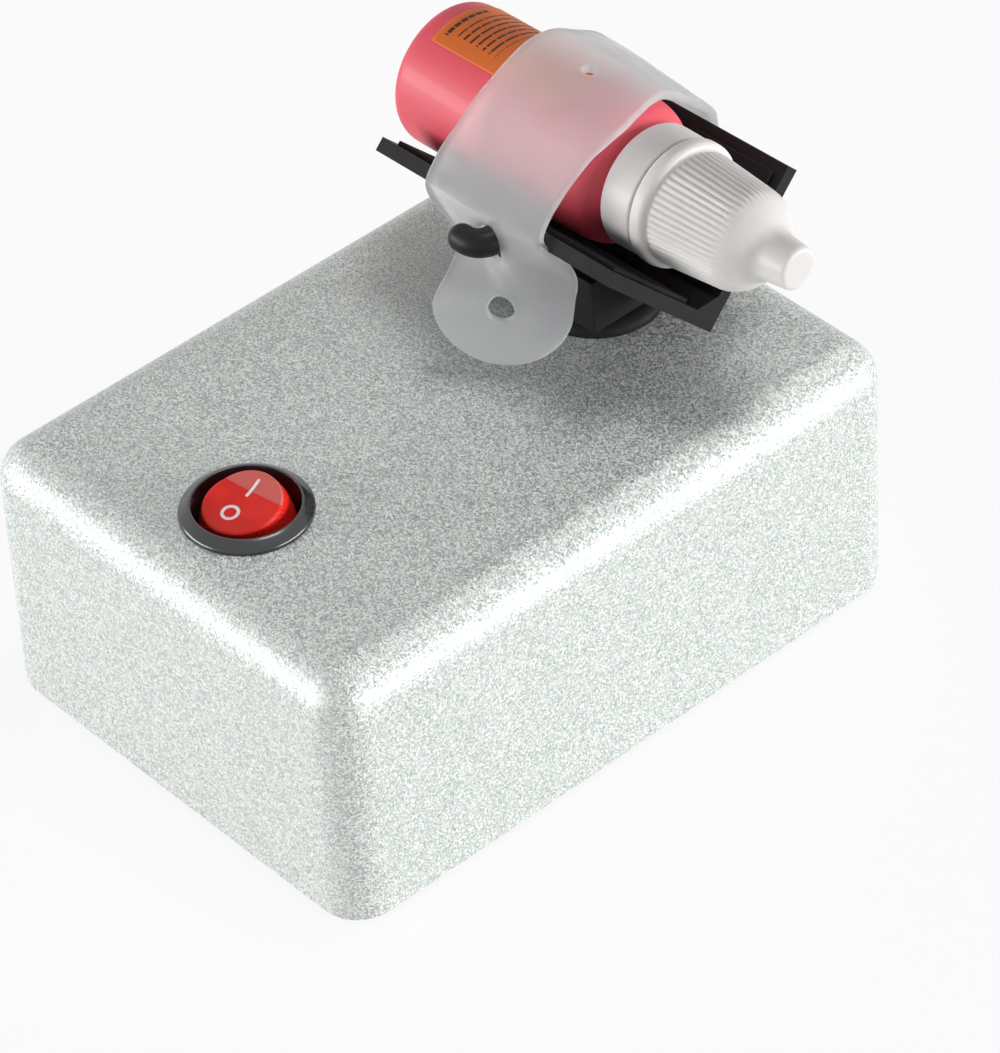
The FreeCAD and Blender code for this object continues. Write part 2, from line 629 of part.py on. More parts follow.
def battery_door():
    """Door under the cells: it slides out along -X on two tongues."""
    body = new_body("battery_door")
    inside_x = f"(tray_half_x + inner_half_x) / 2"
    middle_x = f"(tray_half_x - inner_half_x) / 2"
    panel = oblong(plane_sketch(body, "door_plan", "XY_Plane", "foot_stand"), inside_x, "door_half",
                   middle_x, "battery_y")
    pad(body, panel, "door_thickness")
    tongue = oblong(plane_sketch(body, "tongue_plan", "XY_Plane", "foot_stand + (door_thickness - tongue_height) / 2"),
                    inside_x, "door_half + tongue_width", middle_x, "battery_y")
    pad(body, tongue, "tongue_height")
    lip = oblong(plane_sketch(body, "lip_plan", "XY_Plane", "foot_stand"), "case_wall / 2",
                 "door_half + tongue_width", "case_wall / 2 - case_width / 2", "battery_y")
    pad(body, lip, "door_thickness")
    for index in range(5):
        groove = oblong(plane_sketch(body, f"grip_groove_{index}", "XY_Plane", "foot_stand"),
                        "door_thickness / 4", "door_half * 0.4",
                        f"({index} + 2.5) * door_thickness - case_width / 2", "battery_y")
        pocket(body, groove, "door_thickness / 4", flipped=True)


def battery_tray():
    """Box over the cells, standing on the base and open below."""
    body = new_body("battery_tray")
    outer_x, outer_y = "tray_half_x + tray_wall", "tray_half_y + tray_wall"
    pad(body, oblong(plane_sketch(body, "tray_plan", "XY_Plane", "base_top"), outer_x, outer_y, "0", "battery_y"),
        "tray_roof + tray_wall - base_top")
    pocket(body, oblong(plane_sketch(body, "tray_hollow", "XY_Plane", "base_top"),
                        "tray_half_x", "tray_half_y", "0", "battery_y"), "tray_roof - base_top", flipped=True)


def cell_rows():
    """Return each cell's index, its place along X and the side its nub faces."""
    count = int(number("cell_count"))
    return [(index, f"({index} - (cell_count - 1) / 2) * cell_pitch", 1 if index % 2 else -1)
            for index in range(count)]


def battery_cells():
    """Cells side by side, their nubs facing alternate ways."""
    cells = []
    for index, x, side in cell_rows():
        turn = ALONG_Y if side > 0 else ALONG_MINUS_Y
        start = f"battery_y - {side} * (tray_half_y - contact_thickness - spring_length)"
        can = rod(f"cell_can_{index}", "cell_radius", "cell_length - cell_nub", x, start, "cell_height", turn)
        nub = rod(f"cell_nub_{index}", "cell_nub_radius", "cell_length", x, start, "cell_height", turn)
        cells.append(fuse(f"cell_{index}", [can, nub]))
    keep(fuse("cell_group", cells), "battery_cells")


def battery_springs():
    """One conical spring behind each cell, as a thin hollow cone."""
    springs = []
    for index, x, side in cell_rows():
        turn = ALONG_Y if side > 0 else ALONG_MINUS_Y
        start = f"battery_y - {side} * (tray_half_y - contact_thickness)"
        outside = cone(f"spring_out_{index}", "contact_size * 0.4", "contact_size * 0.28", "spring_length",
                       x, start, "cell_height", turn)
        inside = cone(f"spring_in_{index}", "contact_size * 0.34", "contact_size * 0.22", "spring_length",
                      x, start, "cell_height", turn)
        springs.append(cut(f"spring_{index}", outside, [inside]))
    keep(fuse("spring_group", springs), "battery_springs")


def battery_contacts():
    """Contact plates at both ends of every cell."""
    plates = []
    for index, x, _ in cell_rows():
        for side in (-1, 1):
            plates.append(box(f"contact_{index}_{'front' if side < 0 else 'back'}", "contact_size",
                              "contact_thickness", "contact_size", x,
                              f"battery_y + {side} * (tray_half_y - contact_thickness / 2)",
                              "cell_height - contact_size / 2"))
    keep(fuse("contact_group", plates), "battery_contacts")


def battery_tabs():
    """Solder tab of the pack's plus end on the tray's front, and of its minus end on the back."""
    tabs = []
    for name, x, side in (("plus", "plus_tab_x", -1), ("minus", "-minus_tab_x", 1)):
        y = f"battery_y + {side} * (tray_half_y + tray_wall + tab_thickness / 2)"
        tabs.append(box(f"cell_tab_{name}", "tab_size", "tab_thickness", "tab_size", x, y,
                        "cell_height + tab_size / 6"))
    keep(fuse("cell_tab_group", tabs), "battery_tabs")


# ---------------------------------------------------------------- switch

def switch_frame():
    """Bezel, well and barrel of the round switch, turned as one moulding."""
    body = new_body("switch_frame")
    body.setExpression("Placement.Base.y", spelled("switch_y"))
    body.setExpression("Placement.Base.z", spelled("case_top"))
    wall = "barrel_radius - 1.1"
    profile = outline(plane_sketch(body, "frame_profile", "XZ_Plane"), [
        ("3", "-well_floor - 1"), (wall, "-well_floor - 1"), (wall, "1.2 - barrel_depth"),
        ("0", "1.2 - barrel_depth"), ("0", "-barrel_depth"), ("barrel_radius", "-barrel_depth"),
        ("barrel_radius", "0"), ("bezel_radius", "0"), ("bezel_radius", "bezel_height * 0.3"),
        ("bezel_inner_radius + 0.8", "bezel_height"), ("bezel_inner_radius", "bezel_height"),
        ("bezel_inner_radius - 0.25", "0"), ("well_radius", "-1"), ("well_radius", "-well_floor"),
        ("3", "-well_floor")])
    revolve(body, profile, "V_Axis")
    for index in (-1, 0, 1):
        slot = oblong(plane_sketch(body, f"blade_slot_{index + 1}", "XY_Plane", "-barrel_depth"),
                      "blade_width / 2 + fit_gap", "blade_thickness / 2 + fit_gap", "0", f"{index} * blade_pitch")
        pocket(body, slot, "1.2", flipped=True)
    pin = ring(plane_sketch(body, "pin_hole", "YZ_Plane"), "rocker_pin_radius + fit_gap", "0", "-rocker_pin_depth")
    pocket(body, pin, "2 * pin_span", middle=True)


def switch_pivot_pin():
    """Pin that the rocker turns on."""
    pin = rod("rocker_pin", "rocker_pin_radius", "2 * pin_span - 0.2", "0.1 - pin_span", "switch_y",
              "rocker_axis", ALONG_X)
    keep(pin, "switch_pivot_pin")


def rocker_blank():
    """Round button with its stem, about its pin, leaning to the off side."""
    drum = rod("rocker_drum", "rocker_radius", "rocker_top + rocker_skirt", "0", "0", "-rocker_skirt")
    stem = rod("rocker_stem_rod", "rocker_stem_radius", "rocker_stem - rocker_stem_radius", "0", "0",
               "rocker_stem_radius - rocker_stem")
    tip = ball("rocker_stem_tip", "rocker_stem_radius", "0", "0", "rocker_stem_radius - rocker_stem")
    bore = rod("rocker_bore", "rocker_pin_radius + 0.06", "3 * rocker_radius", "-1.5 * rocker_radius", "0", "0",
               ALONG_X)
    return cut("rocker_shape", fuse("rocker_solid", [drum, stem, tip]), [bore])


def switch_rocker():
    """Red rocker: at rest its far end stands up and its near end is pressed in."""
    item = rocker_blank()
    item.Placement = Placement(Vector(0, 0, 0), Rotation(Vector(1, 0, 0), 1))
    item.setExpression("Placement.Rotation.Angle", spelled("rocker_tilt"))
    item.setExpression("Placement.Base.y", spelled("switch_y"))
    item.setExpression("Placement.Base.z", spelled("rocker_axis"))
    keep(item, "switch_rocker")


def switch_contact_arm():
    """Brass see-saw: a shallow V on a round knuckle, under the rocker's stem, leaning the other way."""
    body = new_body("switch_contact_arm")
    body.Placement = Placement(Vector(0, 0, 0), Rotation(Vector(1, 0, 0), -1))
    body.setExpression("Placement.Rotation.Angle", "-" + spelled("arm_tilt"))
    body.setExpression("Placement.Base.y", spelled("switch_y"))
    body.setExpression("Placement.Base.z", spelled("arm_axis"))
    half, rise = "arm_thickness / 2 / cos(arm_tilt)", "arm_length / 2 * tan(arm_tilt)"
    profile = outline(plane_sketch(body, "arm_profile", "YZ_Plane"), [
        ("0", f"-{half}"), ("arm_length / 2", f"{rise} - {half}"), ("arm_length / 2", f"{rise} + {half}"),
        ("0", half), ("-arm_length / 2", f"{rise} + {half}"), ("-arm_length / 2", f"{rise} - {half}")])
    pad(body, profile, "arm_width", middle=True)
    pad(body, ring(plane_sketch(body, "arm_knuckle", "YZ_Plane"), "arm_knuckle_radius"), "arm_width", middle=True)


def switch_terminals():
    """Three blades: the middle one carries the contact arm, the others end under its tips."""
    blades = []
    for index in (-1, 0, 1):
        half = "arm_thickness / 2" if index else "arm_knuckle_radius"
        depth = f"arm_depth + {half} + contact_gap"
        blades.append(box(f"blade_{index + 1}", "blade_width", "blade_thickness", f"blade_reach - ({depth})",
                          "0", f"switch_y + {index} * blade_pitch", "case_top - blade_reach"))
    keep(fuse("blade_group", blades), "switch_terminals")


def switch_lamp():
    """Pilot lamp beside the stem, standing on the well's floor."""
    height = "well_floor - rocker_pin_depth - rocker_skirt - lamp_radius - 0.4"
    stand = rod("lamp_stand", "lamp_radius", height, "rocker_radius - 3", "switch_y", "case_top - well_floor")
    dome = ball("lamp_dome", "lamp_radius", "rocker_radius - 3", "switch_y", f"case_top - well_floor + {height}")
    dome.Angle1 = 0
    keep(fuse("lamp", [stand, dome]), "switch_lamp")


# ---------------------------------------------------------------- motor and drive

def motor_can():
    """Drawn steel can with a bearing boss on its face, open below."""
    body = new_body("motor_can")
    body.setExpression("Placement.Base.y", spelled("hub_y"))
    inner = "motor_radius - motor_sheet"
    bore = "shaft_radius + shaft_gap"
    profile = outline(plane_sketch(body, "can_profile", "XZ_Plane"), [
        (inner, "motor_bottom"), ("motor_radius", "motor_bottom"), ("motor_radius", "motor_top"),
        ("motor_boss_radius", "motor_top"), ("motor_boss_radius", "motor_top + motor_boss"),
        (bore, "motor_top + motor_boss"), (bore, "motor_top - motor_sheet - 1.5"),
        ("motor_boss_radius", "motor_top - motor_sheet - 1.5"),
        ("motor_boss_radius", "motor_top - motor_sheet"), (inner, "motor_top - motor_sheet")])
    revolve(body, profile, "V_Axis")
    for side in (-1, 1):
        hole = ring(plane_sketch(body, f"face_thread_{side + 1}", "XY_Plane", "motor_top"),
                    "small_screw_radius + fit_gap", f"{side} * motor_screw_x", "0")
        pocket(body, hole, "2 * motor_sheet")


def motor_end_cap():
    """Plastic cap that closes the can and holds the lower bearing."""
    disc = rod("cap_disc", "motor_radius", "motor_cap", "0", "hub_y", "motor_bottom - motor_cap")
    plug = rod("cap_plug", "motor_radius - motor_sheet - fit_gap", "2 * motor_cap", "0", "hub_y",
               "motor_bottom - motor_cap")
    bore = rod("cap_bore", "shaft_radius + shaft_gap", "3 * motor_cap", "0", "hub_y", "motor_bottom - motor_cap * 0.6")
    keep(cut("cap_shape", fuse("cap_blank", [disc, plug]), [bore]), "motor_end_cap")


def motor_magnets():
    """Two curved magnets inside the can."""
    outer = "motor_radius - motor_sheet - fit_gap"
    shell = tube("magnet_ring", outer, f"{outer} - magnet_thickness", "armature_length + 2", "0", "hub_y",
                 "motor_bottom + motor_cap + 3")
    gap = box("magnet_gap", "2 * motor_radius", "8", "armature_length + 4", "0", "hub_y",
              "motor_bottom + motor_cap + 2")
    keep(cut("magnet_pair", shell, [gap]), "motor_magnets")


def motor_armature():
    """Slotted iron core on the shaft, with the commutator below it."""
    bottom = "motor_bottom + motor_cap + 4"
    core = rod("armature_core", "armature_radius", "armature_length", "0", "hub_y", bottom)
    commutator = rod("commutator", "shaft_radius + 1.6", "3.4", "0", "hub_y", f"{bottom} - 3.4")
    bore = rod("armature_bore", "shaft_radius + fit_gap", "armature_length + 10", "0", "hub_y", f"{bottom} - 5")
    slots = []
    for index in range(5):
        slot = doc.addObject("Part::Box", f"armature_slot_{index}")
        bind(slot, Length="armature_radius", Width="1.6", Height="armature_length")
        angle = math.radians(72 * index)
        slot.Placement = Placement(Vector(0, 0, 0), Rotation(Vector(0, 0, 1), 72 * index))
        start = "armature_radius * 0.55"
        slot.setExpression("Placement.Base.x", spelled(f"{start} * {math.cos(angle):.6f} + 0.8 * {math.sin(angle):.6f}"))
        slot.setExpression("Placement.Base.y", spelled(f"hub_y + {start} * {math.sin(angle):.6f} - 0.8 * {math.cos(angle):.6f}"))
        slot.setExpression("Placement.Base.z", spelled(bottom))
        slots.append(slot)
    keep(cut("armature_shape", fuse("armature_blank", [core, commutator]), slots + [bore]), "motor_armature")


def motor_shaft():
    """Steel shaft from the end cap up into the drive head."""
    start = "motor_bottom - motor_cap * 0.5"
    keep(rod("shaft", "shaft_radius", f"pivot_height + shaft_reach - ({start})", "0", "hub_y", start), "motor_shaft")


def motor_terminals():
    """Two tabs under the end cap."""
    tabs = [box(f"motor_tab_{side + 1}", "2", "0.6", "1.2", f"{side} * motor_tab_x", "hub_y - motor_tab_y",
                "motor_bottom - motor_cap - 1.2") for side in (-1, 1)]
    keep(fuse("tab_group", tabs), "motor_terminals")


def motor_bracket():
    """Steel plate under the ceiling's posts, to which the motor's face is screwed."""
    body = new_body("motor_bracket")
    plate = pad(body, oblong(plane_sketch(body, "bracket_plan", "XY_Plane", "motor_top"), "bracket_half",
                             "bracket_half", "0", "hub_y"), "bracket_thickness")
    fillet(body, plate, upright, "post_radius")
    pocket(body, ring(plane_sketch(body, "boss_hole", "XY_Plane", "motor_top"), "motor_boss_radius + clear_gap",
                      "0", "hub_y"), flipped=True)
    for side in (-1, 1):
        screw_hole = ring(plane_sketch(body, f"motor_hole_{side + 1}", "XY_Plane", "motor_top"),
                          "small_screw_radius + clear_gap", f"{side} * motor_screw_x", "hub_y")
        pocket(body, screw_hole, flipped=True)
        pin_hole = ring(plane_sketch(body, f"guide_hole_{side + 1}", "XY_Plane", "motor_top"),
                        "guide_radius + fit_gap", "0", f"hub_y + {side} * guide_offset")
        pocket(body, pin_hole, flipped=True)
    for index, (x, y) in enumerate(case_corners()):
        hole = ring(plane_sketch(body, f"post_hole_{index}", "XY_Plane", "motor_top"),
                    "large_screw_radius + clear_gap", f"{x} * post_offset", f"hub_y + {y} * post_offset")
        pocket(body, hole, flipped=True)


def bracket_screws():
    """Four screws up through the bracket into the posts."""
    screws = [screw(f"bracket_screw_{index}", "large", "bracket_screw_length", f"{x} * post_offset",
                    f"hub_y + {y} * post_offset", "motor_top") for index, (x, y) in enumerate(case_corners())]
    keep(fuse("bracket_screw_group", screws), "bracket_screws")


def motor_screws():
    """Two screws down through the bracket into the motor's face."""
    screws = [screw(f"motor_screw_{side + 1}", "small", "bracket_thickness + motor_sheet", f"{side} * motor_screw_x",
                    "hub_y", "bracket_top", DOWNWARD) for side in (-1, 1)]
    keep(fuse("motor_screw_group", screws), "motor_screws")


def guide_pins():
    """Two pins that stand on the bracket and stop the hub from turning."""
    pins = [rod(f"guide_pin_{side + 1}", "guide_radius", "guide_length", "0", f"hub_y + {side} * guide_offset",
                "motor_top") for side in (-1, 1)]
    keep(fuse("guide_pin_group", pins), "guide_pins")


def drive_head():
    """Collar on the shaft with a pin that leans from the shaft's axis."""
    collar = rod("head_collar", "collar_radius", "collar_height", "0", "hub_y", "collar_top - collar_height")
    shoulder = rod("head_shoulder", "shoulder_radius", "shoulder_rise + 2.4", "0", "0", "-2.4")
    pin = rod("head_pin", "pin_radius", "bearing_end + 1.3", "0", "0", "0")
    leaning = lean(fuse("head_leaning", [shoulder, pin]))
    bore = rod("head_bore", "shaft_radius + fit_gap", "collar_height + collar_drop + shaft_reach + 0.3", "0", "hub_y",
               "collar_top - collar_height")
    thread = rod("head_thread", "small_screw_radius + fit_gap", "collar_radius", "-collar_radius", "hub_y",
                 "collar_top - collar_height / 2", ALONG_X)
    keep(cut("head_shape", fuse("head_blank", [collar, leaning]), [bore, thread]), "drive_head")


def drive_grub_screw():
    """Grub screw that locks the drive head on the shaft."""
    plug = rod("grub", "small_screw_radius", "collar_radius - shaft_radius - fit_gap", "-collar_radius", "hub_y",
               "collar_top - collar_height / 2", ALONG_X)
    socket = rod("grub_socket", "small_screw_radius * 0.5", "1.2", "-collar_radius", "hub_y",
                 "collar_top - collar_height / 2", ALONG_X)
    keep(cut("grub_shape", plug, [socket]), "drive_grub_screw")


def counterweight():
    """Half disc on the collar, opposite to the way the pin leans."""
    disc = tube("weight_disc", "weight_radius", "collar_radius + fit_gap", "weight_height", "0", "hub_y",
                "weight_bottom")
    side = box("weight_side", "2 * weight_radius", "3 * weight_radius", "2 * weight_height", "1 - weight_radius",
               "hub_y", "weight_bottom - weight_height / 2")
    keep(cut("weight_shape", disc, [side]), "counterweight")


def bearing_levels():
    """Return the heights of the two bearings on the pin."""
    return (("lower", "bearing_low"), ("upper", "bearing_high"))


def race(name, level):
    """Return the groove that the balls run in, as a solid."""
    item = bind(doc.addObject("Part::Torus", name), Radius1="race_radius", Radius2="ball_radius + ball_gap")
    return put(item, "0", "0", f"{level} + bearing_width / 2")


def bearing_inner_rings():
    """Inner rings, pressed on the pin."""
    rings = []
    for name, level in bearing_levels():
        blank = tube(f"inner_ring_{name}", "pin_radius + ring_wall", "pin_radius + fit_gap", "bearing_width", "0",
                     "0", level)
        rings.append(cut(f"inner_race_{name}", blank, [race(f"inner_groove_{name}", level)]))
    keep(lean(fuse("inner_ring_group", rings)), "bearing_inner_rings")


def bearing_outer_rings():
    """Outer rings, pressed in the hub."""
    rings = []
    for name, level in bearing_levels():
        blank = tube(f"outer_ring_{name}", "bearing_radius", "bearing_radius - ring_wall", "bearing_width", "0",
                     "0", level)
        rings.append(cut(f"outer_race_{name}", blank, [race(f"outer_groove_{name}", level)]))
    keep(lean(fuse("outer_ring_group", rings)), "bearing_outer_rings")


def bearing_balls():
    """Balls of both bearings."""
    balls = []
    count = int(number("ball_count"))
    for name, level in bearing_levels():
        for index in range(count):
            turn = f"{index} * 360 / ball_count"
            balls.append(ball(f"ball_{name}_{index}", "ball_radius", f"race_radius * cos({turn})",
                              f"race_radius * sin({turn})", f"{level} + bearing_width / 2"))
    keep(lean(fuse("ball_group", balls)), "bearing_balls")


def bearing_spacer():
    """Tube between the two inner rings."""
    spacer = tube("spacer", "pin_radius + ring_wall * 0.9", "pin_radius + fit_gap", "spacer_length", "0", "0",
                  "bearing_low + bearing_width")
    keep(lean(spacer), "bearing_spacer")


def pin_clip():
    """Spring clip that keeps the bearings on the pin."""
    clip = tube("clip", "clip_radius", "pin_radius + fit_gap", "clip_thickness", "0", "0", "bearing_end")
    mouth = box("clip_mouth", "2 * clip_radius", "2", "2 * clip_thickness", "clip_radius", "0",
                "bearing_end - clip_thickness / 2")
    keep(lean(cut("clip_shape", clip, [mouth])), "pin_clip")


# ---------------------------------------------------------------- holder

def wobble_hub():
    """Sleeve over the bearings with the flange that the guide pins pass through."""
    body = new_body("wobble_hub")
    lean(body)
    bore = "bearing_radius + fit_gap"
    half = "flange_thickness / 2"
    profile = outline(plane_sketch(body, "hub_profile", "XZ_Plane"), [
        (bore, f"-{half}"), ("flange_radius", f"-{half}"), ("flange_radius", half), ("hub_radius + 1.2", half),
        ("hub_radius", f"{half} + 1.2"), ("hub_radius", "hub_top"), ("0", "hub_top"),
        ("0", "bearing_end + 1.6"), ("clip_radius + 0.4", "bearing_end + 1.6"), ("clip_radius + 0.4", "bearing_end"),
        (bore, "bearing_end")])
    revolve(body, profile, "V_Axis")
    for side in (-1, 1):
        hole = ring(plane_sketch(body, f"bush_hole_{side + 1}", "XY_Plane", f"-{half}"),
                    "guide_radius + guide_gap + bush_wall + fit_gap", "0", f"{side} * guide_offset")
        pocket(body, hole, "flange_thickness", flipped=True)
    thread = ring(plane_sketch(body, "saddle_thread", "XY_Plane", "hub_top"), "small_screw_radius + fit_gap")
    pocket(body, thread, "hub_top - bearing_end - 1.6")


def guide_bushes():
    """Bushes in the flange, in which the guide pins slide."""
    bushes = [tube(f"bush_{side + 1}", "guide_radius + guide_gap + bush_wall", "guide_radius + guide_gap",
                   "flange_thickness", "0", f"{side} * guide_offset", "-flange_thickness / 2") for side in (-1, 1)]
    keep(lean(fuse("bush_group", bushes)), "guide_bushes")


def saddle():
    """Block on the hub with a notch for the cradle's valley."""
    body = new_body("saddle")
    lean(body)
    shelf = "saddle_top - valley_height"
    profile = outline(plane_sketch(body, "saddle_profile", "YZ_Plane"), [
        ("-saddle_half_y", "hub_top"), ("saddle_half_y", "hub_top"), ("saddle_half_y", "saddle_top"),
        (shelf, "saddle_top"), ("0", "valley_height"), (f"-({shelf})", "saddle_top"),
        ("-saddle_half_y", "saddle_top")])
    pad(body, profile, "2 * saddle_half_x", middle=True)
    for side in (-1, 1):
        thread = ring(plane_sketch(body, f"cradle_thread_{side + 1}", "XY_Plane", "hub_top"),
                      "large_screw_radius + fit_gap", f"{side} * cradle_screw_x", "0")
        pocket(body, thread, flipped=True)
    pocket(body, ring(plane_sketch(body, "saddle_hole", "XY_Plane", "hub_top"), "small_screw_radius + clear_gap"),
           flipped=True)
    pocket(body, ring(plane_sketch(body, "saddle_head_seat", "XY_Plane", "saddle_top"),
                      "small_head_radius + clear_gap"), "saddle_top - valley_height + small_head_height + 0.2")


def saddle_screw():
    """Screw from the saddle down into the hub."""
    item = screw("saddle_screw_piece", "small", "valley_height - small_head_height - 0.2 - bearing_end - 1.8",
                 "0", "0", "valley_height - small_head_height - 0.2", DOWNWARD)
    keep(lean(item), "saddle_screw")


def cradle():
    """V-shaped trough with square ends and a small flat in its valley."""
    body = new_body("cradle")
    lean(body)
    corners = [("arm_flat", "valley_height + arm_flat"),
               ("arm_flat - wall_flat", "valley_height + arm_flat + wall_flat"), ("valley_flat", "valley_floor")]
    mirrored = [(f"-({y})", z) for y, z in reversed(corners)]
    profile = outline(plane_sketch(body, "cradle_profile", "YZ_Plane"), [("0", "valley_height")] + corners + mirrored)
    pad(body, profile, "cradle_length", middle=True)
    for side in (-1, 1):
        hole = ring(plane_sketch(body, f"screw_passage_{side + 1}", "XY_Plane", "valley_floor"),
                    "large_screw_radius + clear_gap", f"{side} * cradle_screw_x", "0")
        pocket(body, hole, "valley_floor - valley_height + 1")
        seat = ring(plane_sketch(body, f"screw_seat_{side + 1}", "XY_Plane", "valley_floor"),
                    "large_head_radius - 0.3", f"{side} * cradle_screw_x", "0")
        pocket(body, seat, "large_head_height + 0.1")


def cradle_screws():
    """Two screws through the cradle's valley into the saddle."""
    screws = [screw(f"cradle_screw_{side + 1}", "valley", "cradle_screw_length - large_head_height",
                    f"{side} * cradle_screw_x", "0", "valley_floor - large_head_height - 0.1", DOWNWARD)
              for side in (-1, 1)]
    keep(lean(fuse("cradle_screw_group", screws)), "cradle_screws")


def wall_box(name, side, x_size, up_from, up_size, out_from, out_size, x="0"):
    """Make a box on one side of the cradle: up its face, and out from its outer face."""
    item = bind(doc.addObject("Part::Box", name), Length=x_size, Width=out_size, Height=up_size)
    item.Placement = Placement(Vector(0, 0, 0), Rotation(Vector(1, 0, 0), -45 * side))
    low = f"({out_from})" if side > 0 else f"(({out_from}) + ({out_size}))"
    root = "sqrt(2)"
    item.setExpression("Placement.Base.x", spelled(f"({x}) - ({x_size}) / 2"))
    item.setExpression("Placement.Base.y", spelled(f"{side} * (({up_from}) + {low}) / {root}"))
    item.setExpression("Placement.Base.z", spelled(f"valley_height + (({up_from}) - {low}) / {root}"))
    return item


def grip_pads():
    """Thin rubber pads on the cradle's two inner faces."""
    low = "(valley_floor - valley_height) * sqrt(2) - cradle_wall + pad_inset / 2"
    pads = [wall_box(f"pad_{side + 1}", side, "cradle_length - 2 * pad_inset", low,
                     f"cradle_arm - pad_inset - ({low})", "-cradle_wall - pad_thickness", "pad_thickness")
            for side in (-1, 1)]
    keep(lean(fuse("pad_group", pads)), "grip_pads")


def hook_level(side):
    """Return the height of one side's hook above the pivot."""
    return "far_hook_height" if side > 0 else "hook_height"


def hook_up(side):
    """Return how far up the cradle's side a stalk's middle is."""
    return f"({hook_level(side)} - valley_height) * sqrt(2)"


def hook(side, label):
    """Hook on the outside of one wall: foot, stalk, quarter bend and a round-tipped horn along X."""
    middle_x, reach_y, level = f"{-side} * hook_root_x", f"{side} * hook_reach", hook_level(side)
    bend_x = f"{side} * (hook_bend - hook_root_x)"
    bend_y = f"{side} * (hook_reach - hook_bend)"
    foot = wall_box(f"hook_foot_{side + 1}", side, "foot_plate_x", f"{hook_up(side)} - foot_plate_up / 2",
                    "foot_plate_up", "0", "foot_plate_thickness", middle_x)
    inner_y = f"({level} - valley_height - 2 * hook_radius)"
    stalk = rod(f"hook_stalk_{side + 1}", "hook_radius", f"hook_reach - hook_bend - {inner_y}", middle_x,
                f"{side} * {inner_y}", level, ALONG_Y if side > 0 else ALONG_MINUS_Y)
    bend = bind(doc.addObject("Part::Torus", f"hook_bend_{side + 1}"), Radius1="hook_bend", Radius2="hook_radius")
    bend.Angle3 = 90
    put(bend, bend_x, bend_y, level, Rotation(Vector(0, 0, 1), 90 * side))
    horn = rod(f"hook_horn_{side + 1}", "hook_radius", "hook_length - hook_bend", bend_x, reach_y, level,
               ALONG_X if side > 0 else ALONG_MINUS_X)
    tip = bind(doc.addObject("Part::Sphere", f"hook_tip_{side + 1}"), Radius="hook_tip_radius")
    put(tip, f"{side} * (hook_length - hook_root_x)", reach_y, level,
        Rotation(Vector(0, 0, 1), 90 - 90 * side))
    blank = fuse(f"hook_blank_{side + 1}", [foot, stalk, bend, horn, tip])
    inside = wall_box(f"hook_trim_{side + 1}", side, "3 * foot_plate_x", "0", "2 * cradle_arm", "-cradle_arm",
                      "cradle_arm")
    rivet_holes = rivets_on(side, "rivet_radius + fit_gap", f"hook_rivet_hole_{side + 1}", False)
    keep(lean(cut(f"hook_shape_{side + 1}", blank, [inside] + rivet_holes)), label)


def rivets_on(side, radius, name, heads):
    """Return the two rivets, or their holes, through one hook's foot and the wall."""
    made = []
    turn = Rotation(Vector(1, 0, 0), -45 * side).multiply(Rotation(Vector(1, 0, 0), -90 * side))
    root = "sqrt(2)"
    for end in (-1, 1):
        x = f"{-side} * hook_root_x + {end} * (foot_plate_x / 2 - rivet_inset)"
        start = "-cradle_wall"
        shank = rod(f"{name}_{end + 1}", radius, "cradle_wall + foot_plate_thickness", x,
                    f"{side} * ({hook_up(side)} + {start}) / {root}",
                    f"valley_height + ({hook_up(side)} - ({start})) / {root}", turn)
        if heads:
            out = "foot_plate_thickness"
            head = rod(f"{name}_head_{end + 1}", "rivet_head_radius", "rivet_head_height", x,
                       f"{side} * ({hook_up(side)} + {out}) / {root}",
                       f"valley_height + ({hook_up(side)} - {out}) / {root}", turn)
            shank = fuse(f"{name}_piece_{end + 1}", [shank, head])
        made.append(shank)
    return made


def hook_rivets():
    """Four rivets that hold the hooks on the cradle."""
    pieces = rivets_on(1, "rivet_radius", "far_rivet", True) + rivets_on(-1, "rivet_radius", "near_rivet", True)
    keep(lean(fuse("rivet_group", pieces)), "hook_rivets")


def pierced_cradle():
    """Pierce the cradle's walls for the rivets."""
    whole = NODES.pop(next(index for index, item in enumerate(NODES) if item.Label == "cradle"))
    whole.Label = "cradle_unpierced"
    whole.Placement = Placement()
    for prop, _ in list(whole.ExpressionEngine):
        whole.setExpression(prop, None)
    holes = (rivets_on(1, "rivet_radius + fit_gap", "far_wall_hole", False)
             + rivets_on(-1, "rivet_radius + fit_gap", "near_wall_hole", False))
    keep(lean(cut("cradle_shape", whole, holes)), "cradle")


# ---------------------------------------------------------------- strap

def strap_line():
    """Return the strap's inner line on the near side: tangent point, edge corners, end of the band."""
    centre = Vector(0, 0, number("bottle_height"))
    radius = number("strap_radius")
    away = number("strap_gap / sqrt(2)")
    flat, wall = number("arm_flat"), number("wall_flat")
    top = number("valley_height") + flat
    inner = Vector(0, -(flat - wall) - away, top + wall + away)
    outer = Vector(0, -flat - away, top + away)
    spoke = inner - centre
    angle = math.atan2(spoke.z, spoke.y) % (2 * math.pi) - math.acos(radius / spoke.Length)
    touch = centre + Vector(0, math.cos(angle), math.sin(angle)) * radius
    low = Vector(0, outer.y, number("hook_height - hook_hole_radius - strap_gap"))
    return centre, touch, [inner, outer, low]


def outward(points, thickness):
    """Move a line's corners outwards (to its left, seen along +X) by a thickness."""
    moved = []
    for index, point in enumerate(points):
        normals = []
        for a, b in ((index - 1, index), (index, index + 1)):
            if a >= 0 and b < len(points):
                step = points[b] - points[a]
                normals.append(Vector(0, -step.z, step.y).normalize() * -1)
        total = normals[0] + normals[-1]
        moved.append(point + total * (thickness / (1 + normals[0].dot(normals[-1]))))
    return moved


